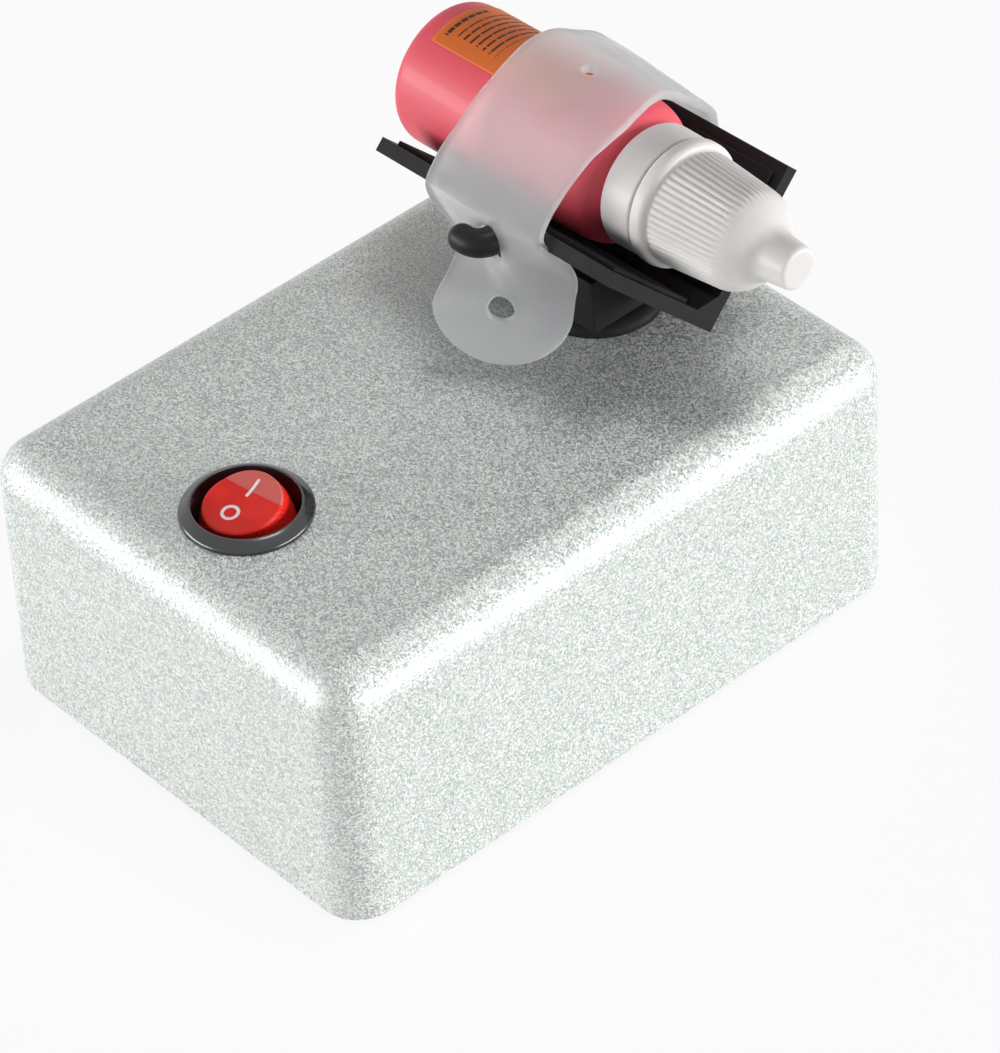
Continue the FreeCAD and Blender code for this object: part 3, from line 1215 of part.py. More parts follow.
def strap_band():
    """Return the band from hook to hook as a solid: an arc over the bottle with straight sides."""
    centre, touch, corners = strap_line()
    thickness = number("strap_thickness")
    inside = [touch] + corners
    outside = outward(inside, thickness)
    flipped = [Vector(0, -point.y, point.z) for point in inside]
    flipped_out = [Vector(0, -point.y, point.z) for point in outside]
    crown = centre + Vector(0, 0, number("strap_radius"))
    crown_out = centre + Vector(0, 0, number("strap_radius") + thickness)
    edges = [Part.Arc(inside[0], crown, flipped[0]).toShape()]
    edges += [Part.LineSegment(a, b).toShape() for a, b in zip(flipped, flipped[1:])]
    edges.append(Part.LineSegment(flipped[-1], flipped_out[-1]).toShape())
    edges += [Part.LineSegment(b, a).toShape() for a, b in reversed(list(zip(flipped_out, flipped_out[1:])))]
    edges.append(Part.Arc(flipped_out[0], crown_out, outside[0]).toShape())
    edges += [Part.LineSegment(a, b).toShape() for a, b in zip(outside, outside[1:])]
    edges.append(Part.LineSegment(outside[-1], inside[-1]).toShape())
    edges += [Part.LineSegment(b, a).toShape() for a, b in reversed(list(zip(inside, inside[1:])))]
    face = Part.Face(Part.Wire(edges))
    width = number("strap_width")
    band = face.extrude(Vector(width, 0, 0))
    band.translate(Vector(number("strap_shift") - width / 2, 0, 0))
    return band


def strap_tail(side, twist):
    """Return one hanging end: a short twisted piece and a flat round end with a hole."""
    half, thickness = number("strap_width / 2"), number("strap_thickness")
    middle_y = side * (number("strap_side") + thickness / 2)
    low, high = number("strap_end") + half, number("hook_height - hook_hole_radius - strap_gap")
    shift = number("strap_shift")
    slide = Vector(number("tail_slide"), -number("tail_out"), 0) if side < 0 else Vector(0, 0, 0)

    def section(height, share):
        turn = Rotation(Vector(0, 0, 1), twist * share)
        spots = [Vector(x, y, 0) for x, y in ((-half, -thickness / 2), (half, -thickness / 2),
                                              (half, thickness / 2), (-half, thickness / 2))]
        placed = [turn.multVec(spot) + Vector(shift, middle_y, height) + slide * share for spot in spots]
        return Part.makePolygon(placed + placed[:1])
    steps = 4
    wires = [section(high + (low - high) * index / steps, index / steps) for index in range(steps + 1)]
    neck = Part.makeLoft(wires, True, True)
    disc = Part.makeCylinder(half, thickness, Vector(0, -thickness / 2, 0), Vector(0, 1, 0))
    lower = Part.makeBox(2 * half, thickness, half, Vector(-half, -thickness / 2, -half))
    end = disc.common(lower)
    hole = Part.makeCylinder(number("strap_hole_radius"), 4 * thickness, Vector(0, -2 * thickness, 0), Vector(0, 1, 0))
    frame = Placement(Vector(shift, middle_y, low) + slide, Rotation(Vector(0, 0, 1), twist))
    for piece in (end, hole):
        piece.Placement = frame
    hole.translate(Vector(0, 0, number(f"{hook_level(side)} - strap_hole_pitch") - low))
    return neck.fuse(end), hole


def strap():
    """Silicone strap over the bottle, hung on the two hooks by its holes."""
    band = strap_band()
    near, near_hole = strap_tail(-1, number("tail_twist"))
    far, far_hole = strap_tail(1, 0)
    thickness = number("strap_thickness")
    inner_y = number("strap_side") - 2 * thickness
    holes = [near_hole, far_hole]
    for side in (-1, 1):
        start = Vector(-side * number("hook_root_x"), side * inner_y, number(hook_level(side)))
        holes.append(Part.makeCylinder(number("hook_hole_radius"), 5 * thickness, start, Vector(0, side, 0)))
    crown = Vector(0, 0, number("bottle_height + strap_radius") - 2 * thickness)
    holes.append(Part.makeCylinder(number("strap_hole_radius * 0.45"), 5 * thickness, crown, Vector(0, 0, 1)))
    shape = band.fuse([near, far])
    for hole in holes:
        shape = shape.cut(hole)
    item = doc.addObject("Part::Feature", "strap_shape")
    item.Shape = shape.removeSplitter().Solids[0]
    keep(lean(item), "strap")


# ---------------------------------------------------------------- bottle

def bottle_piece(label):
    """Start a turned sub-part of the bottle, whose axis is X."""
    body = new_body(label)
    lean(body, "bottle_height")
    return body


def along(place):
    """Return the place along X of a distance from the bottle's base."""
    return f"bottle_start + {place}"


def bottle_body():
    """Hollow bottle with a rounded shoulder and a plain neck."""
    body = bottle_piece("bottle_body")
    radius, wall = "bottle_radius", "bottle_wall"
    neck_end = "bottle_shoulder + neck_length"
    profile = outline(plane_sketch(body, "bottle_profile", "XZ_Plane"), [
        (along("0"), "0"), (along("0"), f"{radius} - 2"), (along("0.6"), f"{radius} - 0.6"), (along("2"), radius),
        (along("bottle_shoulder - 5.5"), radius), (along("bottle_shoulder - 3"), f"{radius} - 0.7"),
        (along("bottle_shoulder - 1"), f"{radius} - 2.2"), (along("bottle_shoulder"), f"{radius} - 4.2"),
        (along("bottle_shoulder"), "neck_radius"), (along(neck_end), "neck_radius"),
        (along(neck_end), f"neck_radius - {wall}"), (along(f"bottle_shoulder - {wall}"), f"neck_radius - {wall}"),
        (along(f"bottle_shoulder - {wall} - 5"), f"{radius} - {wall}"), (along(wall), f"{radius} - {wall}"),
        (along(wall), "0")])
    revolve(body, profile, "H_Axis")


def bottle_fill():
    """Liquid inside the bottle."""
    body = bottle_piece("bottle_fill")
    radius = "bottle_radius - bottle_wall - 0.1"
    profile = outline(plane_sketch(body, "fill_profile", "XZ_Plane"), [
        (along("bottle_wall + 0.1"), "0"), (along("bottle_wall + 0.1"), radius),
        (along("bottle_shoulder - bottle_wall - 6"), radius), (along("bottle_shoulder - bottle_wall - 6"), "0")])
    revolve(body, profile, "H_Axis")


def bottle_label():
    """Label wrapped from the bottle's near side over its top to its far side."""
    body = bottle_piece("bottle_label")
    inner, outer = "bottle_radius + fit_gap", "bottle_radius + label_thickness"
    start, end = along("label_start"), along("label_start + label_length")
    sketch = plane_sketch(body, "label_profile", "XZ_Plane")
    sketch.AttachmentOffset = Placement(Vector(0, 0, 0), Rotation(Vector(1, 0, 0), 1))
    sketch.setExpression("AttachmentOffset.Rotation.Angle", spelled("90 - label_turn"))
    outline(sketch, [(start, inner), (end, inner), (end, outer), (start, outer)])
    revolve(body, sketch, "H_Axis", "label_angle").Reversed = True


def bottle_collar():
    """Tamper ring on the neck, between shoulder and cap, with a shallow groove."""
    body = bottle_piece("bottle_collar")
    start, end = along("bottle_shoulder + cap_gap"), along("bottle_shoulder + cap_gap + collar_ring_length")
    radius = "collar_ring_radius"
    profile = outline(plane_sketch(body, "collar_profile", "XZ_Plane"), [
        (start, "neck_radius + fit_gap"), (end, "neck_radius + fit_gap"), (end, f"{radius} - 0.4"),
        (f"{end} - 0.4", radius), (f"{start} + 1", radius), (start, f"{radius} - 1")])
    revolve(body, profile, "H_Axis")


def bottle_cap():
    """Screw cap: bead, ribbed grip, dome and a closed spout."""
    body = bottle_piece("bottle_cap")
    bore = "neck_radius + 0.15"
    grip = "cap_start + cap_bead_length"
    dome = f"{grip} + cap_grip_length"
    spout = f"{dome} + cap_dome_length"
    tip = f"{spout} + nozzle_length"
    neck_end = "bottle_shoulder + neck_length + 0.2"
    profile = outline(plane_sketch(body, "cap_profile", "XZ_Plane"), [
        (along("cap_start"), bore), (along("cap_start"), "cap_bead_radius - 0.8"),
        (along("cap_start + 0.8"), "cap_bead_radius"), (along(f"{grip} - 1"), "cap_bead_radius"),
        (along(grip), "cap_grip_radius"), (along(dome), "cap_grip_end_radius"),
        (along(f"{dome} + 1.4"), "cap_grip_end_radius - 0.9"), (along(f"{spout} - 1.0"), "nozzle_radius + 1.9"),
        (along(spout), "nozzle_radius + 0.3"), (along(f"{spout} + 0.9"), "nozzle_radius - 0.2"),
        (along(f"{tip} - 0.8"), "nozzle_end_radius"), (along(tip), "nozzle_end_radius - 0.9"), (along(tip), "0"),
        (along(f"{neck_end} + 4"), "0"), (along(neck_end), bore)])
    revolve(body, profile, "H_Axis")


# ---------------------------------------------------------------- leads

def lead(label, points):
    """Sweep an insulated lead along straight runs joined by tangent arcs."""
    radius = number("lead_radius")
    spots = [Vector(*point) for point in points]
    edges, start = [], spots[0]
    for before, corner, after in zip(spots, spots[1:], spots[2:]):
        back, on = (before - corner), (after - corner)
        turn = math.pi - back.getAngle(on)
        bend = 0.45 * min(back.Length, on.Length) / math.tan(turn / 2)
        reach = bend * math.tan(turn / 2)
        enter, leave = corner + back.normalize() * reach, corner + on.normalize() * reach
        heart = corner + (back + on).normalize() * (bend / math.cos(turn / 2))
        middle = heart + (corner - heart).normalize() * bend
        edges += [Part.LineSegment(start, enter).toShape(), Part.Arc(enter, middle, leave).toShape()]
        start = leave
        print(f"{label}: bend radius {bend:.1f}")
    edges.append(Part.LineSegment(start, spots[-1]).toShape())
    path = Part.Wire(edges)
    section = Part.Wire(Part.makeCircle(radius, spots[0], spots[1] - spots[0]))
    solid = path.makePipeShell([section], True, False)
    item = doc.addObject("Part::Feature", label + "_shape")
    item.Shape = solid
    expected = math.pi * radius ** 2 * path.Length
    print(f"{label}: volume {solid.Volume:.1f}, section times length {expected:.1f}")
    keep(item, label)


def leads():
    """Leads from the cells to the switch, from it to the motor, and back to the cells."""
    radius, run, rise = number("lead_radius"), number("lead_run"), number("lead_rise")
    off = radius + number("lead_gap")
    tip = number("case_top - blade_reach")
    first_y, last_y = number("switch_y - blade_pitch"), number("switch_y + blade_pitch")
    front = number("battery_y - tray_half_y - tray_wall")
    back = number("battery_y + tray_half_y + tray_wall")
    roof = number("tray_roof + tray_wall")
    level = number("cell_height + tab_size * 2 / 3")
    plus_x, minus_x = number("plus_tab_x - tab_size / 2"), number("tab_size / 2 - minus_tab_x")
    side_x = number("tray_half_x - tab_size")
    motor_x, motor_y = number("motor_tab_x + 1"), number("hub_y - motor_tab_y")
    low = number("motor_bottom - motor_cap") - off
    lead("lead_cells_to_switch", [
        (plus_x, front - off, level), (plus_x - run, front - off, level),
        (plus_x - 2 * run, front - 2 * off - rise, level + rise + radius),
        (rise, min(first_y + rise, front - run), tip - run - 2 * off),
        (0, first_y, tip - run), (0, first_y, tip)])
    lead("lead_switch_to_motor", [
        (0, last_y, tip), (0, last_y, max(tip - run, roof + rise + radius)),
        (plus_x / 2, last_y + 1.4 * run, roof + rise + radius / 2), (plus_x, number("battery_y"), roof + rise),
        (side_x, back - 1.5 * run, roof + rise + radius), (side_x, back + 2 * radius + rise / 2, roof + rise),
        (side_x - off, back + run * 0.7, low + run * 0.6), (side_x - 1.5 * run, motor_y, low),
        (motor_x, motor_y, low)])
    lead("lead_motor_to_cells", [
        (-motor_x, motor_y, low), (-motor_x - run, motor_y, low),
        (-motor_x - 1.7 * run, back + run / 2, low + run / 2),
        (minus_x + 0.8 * run, back + off, level), (minus_x, back + off, level)])


# ---------------------------------------------------------------- build

def check_document():
    """Stop if any object of the document failed, or any sub-part has no valid shape."""
    doc.recompute()
    failed = [f"{item.Name} ({item.Label})" for item in doc.Objects
              if "Invalid" in item.State or "Error" in item.State]
    if failed:
        raise RuntimeError("failed: " + ", ".join(failed))
    for item in NODES:
        if item.Shape.isNull() or not item.Shape.isValid() or not item.Shape.Solids:
            raise RuntimeError(f"{item.Label} has no valid solid")


def write_parts():
    """Write every sub-part to a STEP file of its own."""
    os.makedirs("parts", exist_ok=True)
    for item in NODES:
        item.Shape.exportStep(f"parts/{item.Label}.step")
        print(f"{item.Label}: {len(item.Shape.Solids)} solid(s), {item.Shape.Volume:.1f} mm3")


def main():
    """Build every sub-part in turn, check them and write them."""
    fill_sheet()
    for build in (case_shell, base_plate, rubber_feet, case_screws, rubber_boot,
                  battery_door, battery_tray, battery_cells, battery_springs, battery_contacts, battery_tabs,
                  switch_frame, switch_pivot_pin, switch_rocker, switch_contact_arm, switch_terminals, switch_lamp,
                  motor_can, motor_end_cap, motor_magnets, motor_armature, motor_shaft, motor_terminals,
                  motor_bracket, bracket_screws, motor_screws, guide_pins,
                  drive_head, drive_grub_screw, counterweight,
                  bearing_inner_rings, bearing_outer_rings, bearing_balls, bearing_spacer, pin_clip,
                  wobble_hub, guide_bushes, saddle, saddle_screw, cradle, cradle_screws, grip_pads):
        build()
    hook(-1, "near_hook")
    hook(1, "far_hook")
    for build in (hook_rivets, pierced_cradle, strap, bottle_body, bottle_fill, bottle_label, bottle_collar,
                  bottle_cap, leads):
        build()
    check_document()
    write_parts()


main()
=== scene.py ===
"""Nail polish shaker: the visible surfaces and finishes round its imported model.

Sizes are in millimetres until a mesh is made. Two frames are used: the case's own (x, y, z), and the
holder's (x, y, s), which leans with the drive pin and has its origin at the pivot.
"""
from __future__ import annotations

import json
import logging
import math
from collections.abc import Callable, Sequence
from dataclasses import dataclass
from enum import Enum
from functools import reduce

import bmesh
import bpy
import numpy as np
from mathutils import Matrix, Vector


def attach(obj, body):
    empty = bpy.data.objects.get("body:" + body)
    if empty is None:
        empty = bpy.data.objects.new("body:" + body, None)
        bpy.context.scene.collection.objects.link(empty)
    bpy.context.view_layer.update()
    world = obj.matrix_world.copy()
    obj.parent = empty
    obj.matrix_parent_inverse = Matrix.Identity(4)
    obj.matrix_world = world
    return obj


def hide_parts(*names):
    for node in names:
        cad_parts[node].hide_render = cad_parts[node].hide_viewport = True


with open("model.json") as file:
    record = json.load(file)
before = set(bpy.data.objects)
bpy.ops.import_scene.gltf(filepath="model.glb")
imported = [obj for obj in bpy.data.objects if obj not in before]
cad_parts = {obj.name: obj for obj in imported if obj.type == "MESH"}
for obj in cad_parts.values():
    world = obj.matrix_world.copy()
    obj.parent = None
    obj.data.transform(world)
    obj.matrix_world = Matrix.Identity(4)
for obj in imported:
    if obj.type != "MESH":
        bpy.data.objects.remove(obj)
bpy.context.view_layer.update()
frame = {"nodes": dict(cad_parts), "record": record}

LOG = logging.getLogger("shaker")
MM = 0.001
# The holder's frame: the drive pin's lean, and the pivot's place in the case's frame.
LEAN = math.radians(2.5)
PIVOT = (0.0, 37.0, 40.0)
# In the case's frame: the top's height, the switch's middle, the rocker's pin and its lean.
CASE_TOP = 52.8
SWITCH_Y = -42.8
ROCKER_AXIS = 49.8
ROCKER_LEAN = math.radians(10)
# In the holder's frame: the middle of the strap's arc, the bottle's axis and the bottle's base.
ARC_HEIGHT = 44.33
BOTTLE_HEIGHT = 44.0
BOTTLE_START = -34.7
# Distances in metres below which points and slivers are merged, on new surfaces and on solids.
NEW_MERGE, NEW_SLIVER = 1e-6, 1e-7
SOLID_MERGE, SOLID_SLIVER = 2e-6, 1e-6
# Faces of a solid that turn by less than FLAT are one face; past SOLID_CREASE degrees an edge is sharp.
FLAT = math.radians(0.6)
SOLID_CREASE = 32.0
# Where most of a noise's values lie.
NOISE_SPAN = (0.3, 0.7)

Item, Material = bpy.types.Object, bpy.types.Material
Mesh, Socket = bpy.types.Mesh, bpy.types.NodeSocket
Points = np.ndarray
Pair = tuple[float, float]
Triple = tuple[float, float, float]
Colour = Triple
Ribs = Callable[[Points, Points, Points], Points]


# ---------------------------------------------------------------- frames

def upright(points: Points) -> Points:
    """Case millimetres to metres: every coordinate times a thousandth."""
    return points * MM


def leaning(points: Points) -> Points:
    """Holder millimetres to metres: turned about Y by the drive pin's lean, then moved to the pivot.

    Args:
        points: array whose last axis is (x, y, s).

    Returns:
        Array of the same shape in metres, in the machine's frame.
    """
    x, y, s = np.moveaxis(points, -1, 0)
    cos, sin = math.cos(LEAN), math.sin(LEAN)
    moved = np.stack([x * cos - s * sin, y + PIVOT[1], x * sin + s * cos + PIVOT[2]], -1)
    return moved * MM


def on_bottle(points: Points) -> Points:
    """Bottle millimetres (along, across, up) to metres: from its base, about its own axis."""
    return leaning(points + np.array([BOTTLE_START, 0.0, BOTTLE_HEIGHT]))


def on_boot(points: Points) -> Points:
    """Turned millimetres (up, across, along) to metres, about the hub's axis on the case's top."""
    return upright(np.stack([points[..., 1], points[..., 2] + PIVOT[1], points[..., 0] + CASE_TOP], -1))


def on_switch(points: Points) -> Points:
    """Turned millimetres (up, across, along) to metres, about the switch's axis on the case's top."""
    return upright(np.stack([points[..., 1], points[..., 2] + SWITCH_Y, points[..., 0] + CASE_TOP], -1))


def on_rocker(points: Points) -> Points:
    """Rocker millimetres (x, y, z) to metres: turned about its pin by its lean, then moved to the pin.

    Args:
        points: array whose last axis is (x, y, z).

    Returns:
        Array of the same shape in metres.
    """
    x, y, z = np.moveaxis(points, -1, 0)
    cos, sin = math.cos(ROCKER_LEAN), math.sin(ROCKER_LEAN)
    return upright(np.stack([x, y * cos - z * sin + SWITCH_Y, y * sin + z * cos + ROCKER_AXIS], -1))


# ---------------------------------------------------------------- surfaces

def eased(value: Points, low: float, high: float) -> Points:
    """Smooth step: 0 below low, 1 above high, and 3t^2 - 2t^3 between them."""
    share = np.clip((value - low) / (high - low), 0.0, 1.0)
    return share * share * (3.0 - 2.0 * share)


def rounded(corners: Sequence[tuple[float, ...]], steps: int = 6, most: float = 0.49) -> Points:
    """Closed outline with rounded corners: corner + back (1 - t)^2 + on t^2.

    The two ways, back and on, reach from the corner along its sides.

    Args:
        corners: (along, radius) or (along, radius, reach of the rounding).
        steps: pieces of each rounding.
        most: the largest share of a side that a rounding takes.

    Returns:
        Array of (along, radius) points.
    """
    spots = np.array([corner[:2] for corner in corners], float)
    share = np.linspace(0.0, 1.0, steps + 1)[:, None]
    line = []
    for index, corner in enumerate(corners):
        spot = spots[index]
        if len(corner) < 3:
            line.append(spot[None])
            continue
        back, on = spots[index - 1] - spot, spots[(index + 1) % len(spots)] - spot
        back = back * min(corner[2] / np.linalg.norm(back), most)
        on = on * min(corner[2] / np.linalg.norm(on), most)
        line.append(spot + back * (1.0 - share) ** 2 + on * share ** 2)
    return np.concatenate(line)


def resampled(line: Points, step: float) -> Points:
    """Polyline with no piece longer than a step: each piece is cut into equal shares.

    Args:
        line: array of points.
        step: the longest piece that is left.

    Returns:
        Array of points with the same corners.
    """
    pieces = []
    for start, end in zip(line[:-1], line[1:]):
        count = max(1, int(math.ceil(np.linalg.norm(end - start) / step)))
        pieces.append(start + (end - start) * (np.arange(count) / count)[:, None])
    pieces.append(line[-1:])
    return np.concatenate(pieces)


def around(count: int) -> Points:
    """One row of angles that share a full turn equally, from 0."""
    return np.linspace(0.0, 2.0 * math.pi, count, endpoint=False)[None, :]


def lathe(profile: Points, turns: int, ribs: Ribs | None = None) -> Points:
    """Profile carried round an axis: (along, r cos angle, r sin angle), with r changed by a rib function.

    Args:
        profile: (along, radius) points.
        turns: columns round the axis.
        ribs: function of (along, radius, angle) that gives what is added to the radius.

    Returns:
        Array of (rows, turns, 3).
    """
    angle = around(turns)
    along = np.repeat(profile[:, :1], turns, 1)
    radius = np.repeat(profile[:, 1:2], turns, 1)
    if ribs is not None:
        radius = radius + ribs(along, radius, angle)
    return np.stack([along, radius * np.cos(angle), radius * np.sin(angle)], -1)


def quads(rows: int, columns: int, wrap_rows: bool = False, wrap_columns: bool = False) -> Points:
    """Quads of a grid numbered row by row; a wrapped side joins its last line to its first.

    Args:
        rows: rows of the grid.
        columns: columns of the grid.
        wrap_rows: whether the last row joins the first.
        wrap_columns: whether the last column joins the first.

    Returns:
        Array of four point numbers for each face.
    """
    i, j = np.meshgrid(np.arange(rows if wrap_rows else rows - 1),
                       np.arange(columns if wrap_columns else columns - 1), indexing="ij")
    k, m = (i + 1) % rows, (j + 1) % columns
    return np.stack([i * columns + j, i * columns + m, k * columns + m, k * columns + j], -1).reshape(-1, 4)


# ---------------------------------------------------------------- pieces

def linked(name: str, data: bpy.types.ID) -> Item:
    """Make an object of the scene from its data.

    Args:
        name: the object's name.
        data: its mesh, lamp or camera.

    Returns:
        The new object.
    """
    item = bpy.data.objects.new(name, data)
    bpy.context.scene.collection.objects.link(item)
    return item


def clean(mesh: Mesh, merge: float, sliver: float, flat: float | None = None) -> None:
    """Merge a mesh's doubles and slivers, then join its flat faces or turn its faces outwards.

    Args:
        mesh: the mesh, changed in place.
        merge: points closer than this are merged, in metres.
        sliver: faces thinner than this are dissolved, in metres.
        flat: faces that turn by less than this angle are joined; None turns them outwards instead.
    """
    work = bmesh.new()
    work.from_mesh(mesh)
    bmesh.ops.remove_doubles(work, verts=work.verts, dist=merge)
    bmesh.ops.dissolve_degenerate(work, edges=work.edges, dist=sliver)
    if flat is None:
        bmesh.ops.recalc_face_normals(work, faces=work.faces)
    else:
        bmesh.ops.dissolve_limit(work, angle_limit=flat, verts=work.verts, edges=work.edges)
    work.to_mesh(mesh)
    work.free()


@dataclass(frozen=True)
class Piece:
    """One named piece: its body, its material slot, and the CAD nodes that it stands for."""

    name: str
    body: str
    slot: str
    stands_for: tuple[str, ...] = ()

    def enter(self, mesh: Mesh, material: Material) -> Item:
        """Make the mesh an object of the scene that rides on its body.

        Args:
            mesh: finished mesh, in metres.
            material: its finish.

        Returns:
            The new object.
        """
        item = linked(self.name, mesh)
        mesh.materials.clear()
        mesh.materials.append(material)
        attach(item, self.body)
        if self.stands_for:
            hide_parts(*self.stands_for)
        LOG.info("%s: %d faces on %s", self.name, len(mesh.polygons), self.body)
        return item

    def skin(self, points: Points, faces: Points, material: Material, crease: float = 35.0,
             closed: bool = True) -> Item:
        """Make a new surface.

        Args:
            points: array of places in metres.
            faces: array of quads.
            material: its finish.
            crease: edges that turn by more than this angle stay sharp, in degrees.
            closed: whether the surface has an inside, so that its faces can be turned outwards.

        Returns:
            The new object.
        """
        mesh = bpy.data.meshes.new(self.name)
        mesh.from_pydata(points.reshape(-1, 3).tolist(), [], faces.tolist())
        if closed:
            clean(mesh, NEW_MERGE, NEW_SLIVER)
        smooth(mesh, crease)
        return self.enter(mesh, material)

    def turned(self, profile: Points, turns: int, place: Callable[[Points], Points],
               material: Material, crease: float, ribs: Ribs | None = None) -> Item:
        """Make a surface by turning one closed profile.

        Args:
            profile: (along, radius) points in millimetres.
            turns: columns round the axis.
            place: function from turned millimetres to metres in the machine's frame.
            material: its finish.
            crease: edges that turn by more than this angle stay sharp, in degrees.
            ribs: function that changes the radius, as lathe takes it.

        Returns:
            The new object.
        """
        points = lathe(profile, turns, ribs)
        return self.skin(place(points), quads(len(points), turns, True, True), material, crease)

    def copy(self, material: Material, bevel: float) -> Item:
        """Merge a copy of the CAD solid that this piece stands for, and round and shade its edges.

        Args:
            material: its finish.
            bevel: width of the rounding of its sharp edges, in millimetres.

        Returns:
            The new object.
        """
        mesh = frame["nodes"][self.stands_for[0]].data.copy()
        mesh.name = self.name
        clean(mesh, SOLID_MERGE, SOLID_SLIVER, FLAT)
        smooth(mesh, SOLID_CREASE)
        item = self.enter(mesh, material)
        rounding = item.modifiers.new("rounding", "BEVEL")
        rounding.width = bevel * MM
        rounding.segments = 2
        rounding.limit_method = "ANGLE"
        rounding.angle_limit = math.radians(SOLID_CREASE)
        rounding.harden_normals = False
        item.modifiers.new("shading", "WEIGHTED_NORMAL").keep_sharp = True
        return item


def smooth(mesh: Mesh, crease: float) -> None:
    """Shade a mesh smooth, with sharp edges where it turns by more than an angle in degrees.

    Args:
        mesh: the mesh, changed in place.
        crease: the angle.
    """
    mesh.polygons.foreach_set("use_smooth", np.ones(len(mesh.polygons), bool))
    mesh.set_sharp_from_angle(angle=math.radians(crease))
    mesh.update()


def subdivide(item: Item, levels: int) -> None:
    """Add a subdivision surface with equal levels in view and render."""
    finer = item.modifiers.new("finer", "SUBSURF")
    finer.levels = finer.render_levels = levels


def thicken(item: Item, thickness: float, offset: float) -> None:
    """Give a sheet its thickness in millimetres; offset -1 grows it inwards, 0 both ways.

    Args:
        item: the object, changed in place.
        thickness: in millimetres.
        offset: -1 grows it inwards, 0 both ways.
    """
    wall = item.modifiers.new("wall", "SOLIDIFY")
    wall.thickness = thickness * MM
    wall.offset = offset
    wall.use_even_offset = True


# ---------------------------------------------------------------- finishes

class Wiring:
    """Node tree of one material, with short calls for the nodes that the finishes share."""

    def __init__(self, name: str, **sockets: object) -> None:
        """Start a material; each keyword is a shader socket, with _ for a space.

        Args:
            name: the material's name.
            sockets: constant values of the shader's sockets.
        """
        self.material = bpy.data.materials.new(name)
        self.material.use_nodes = True
        self.tree = self.material.node_tree
        self.shader = self.tree.nodes["Principled BSDF"]
        self.place = self.add("TexCoord").outputs["Object"]
        for key, value in sockets.items():
            self.shade(key.replace("_", " "), value)

    def add(self, kind: str, inputs: dict[int | str, object] | None = None,
            **settings: object) -> bpy.types.Node:
        """Add a node.

        Args:
            kind: node type after "ShaderNode".
            inputs: socket to constant or to another node's output.
            settings: properties of the node.

        Returns:
            The node.
        """
        node = self.tree.nodes.new("ShaderNode" + kind)
        for key, value in settings.items():
            setattr(node, key, value)
        for key, value in (inputs or {}).items():
            self.feed(node.inputs[key], value)
        return node

    def feed(self, socket: Socket, value: object) -> None:
        """Link an output to a socket, or set its constant.

        Args:
            socket: an input.
            value: another node's output, or a number, vector or colour.
        """
        if isinstance(value, Socket):
            self.tree.links.new(value, socket)
        elif isinstance(value, tuple) and len(value) == 3 and socket.type == "RGBA":
            socket.default_value = (*value, 1.0)
        else:
            socket.default_value = value

    def shade(self, socket: str, value: object) -> None:
        """Feed one socket of the shader."""
        self.feed(self.shader.inputs[socket], value)

    def noise(self, size: float, detail: float = 3.0, place: Socket | None = None) -> Socket:
        """Noise whose features are a size in millimetres; gives 0 to 1."""
        inputs = {"Vector": place or self.place, "Scale": 1.0 / (size * MM), "Detail": detail}
        return self.add("TexNoise", inputs).outputs["Fac"]

    def cells(self, size: float) -> Socket:
        """A random colour for each cell of a size in millimetres."""
        return self.add("TexVoronoi", {"Vector": self.place, "Scale": 1.0 / (size * MM)}).outputs["Color"]

    def math(self, operation: str, first: object, second: object = 0.0) -> Socket:
        """Work out one number from two."""
        return self.add("Math", {0: first, 1: second}, operation=operation).outputs[0]

    def mix(self, share: object, first: object, second: object) -> Socket:
        """Mix two colours by a share."""
        return self.add("Mix", {0: share, 6: first, 7: second}, data_type="RGBA").outputs[2]

    def spread(self, value: Socket, low: float, high: float, start: float = 0.0, end: float = 1.0) -> Socket:
        """Map start..end on to low..high."""
        return self.add("MapRange", {0: value, 1: start, 2: end, 3: low, 4: high}).outputs[0]

    def weighed(self, *terms: tuple[Socket, float]) -> Socket:
        """Add two values, each times its weight."""
        return self.math("ADD", *(self.math("MULTIPLY", *term) for term in terms))

    def blend(self, share: Socket, first: Colour, second: Colour, roughness: Pair) -> None:
        """Let a noise mix the shader's colour from two, and its roughness between two numbers."""
        self.shade("Base Color", self.mix(share, first, second))
        self.shade("Roughness", self.spread(share, *roughness, *NOISE_SPAN))

    def within(self, value: Socket, low: float, high: float) -> Socket:
        """1 where a value lies between two numbers, else 0."""
        above, under = self.math("GREATER_THAN", value, low), self.math("LESS_THAN", value, high)
        return self.math("MULTIPLY", above, under)

    def bump(self, height: Socket, depth: float, strength: float = 0.4) -> None:
        """Raise the surface by a height, with a depth in millimetres."""
        node = self.add("Bump", {"Height": height, "Distance": depth * MM, "Strength": strength})
        self.shade("Normal", node.outputs[0])


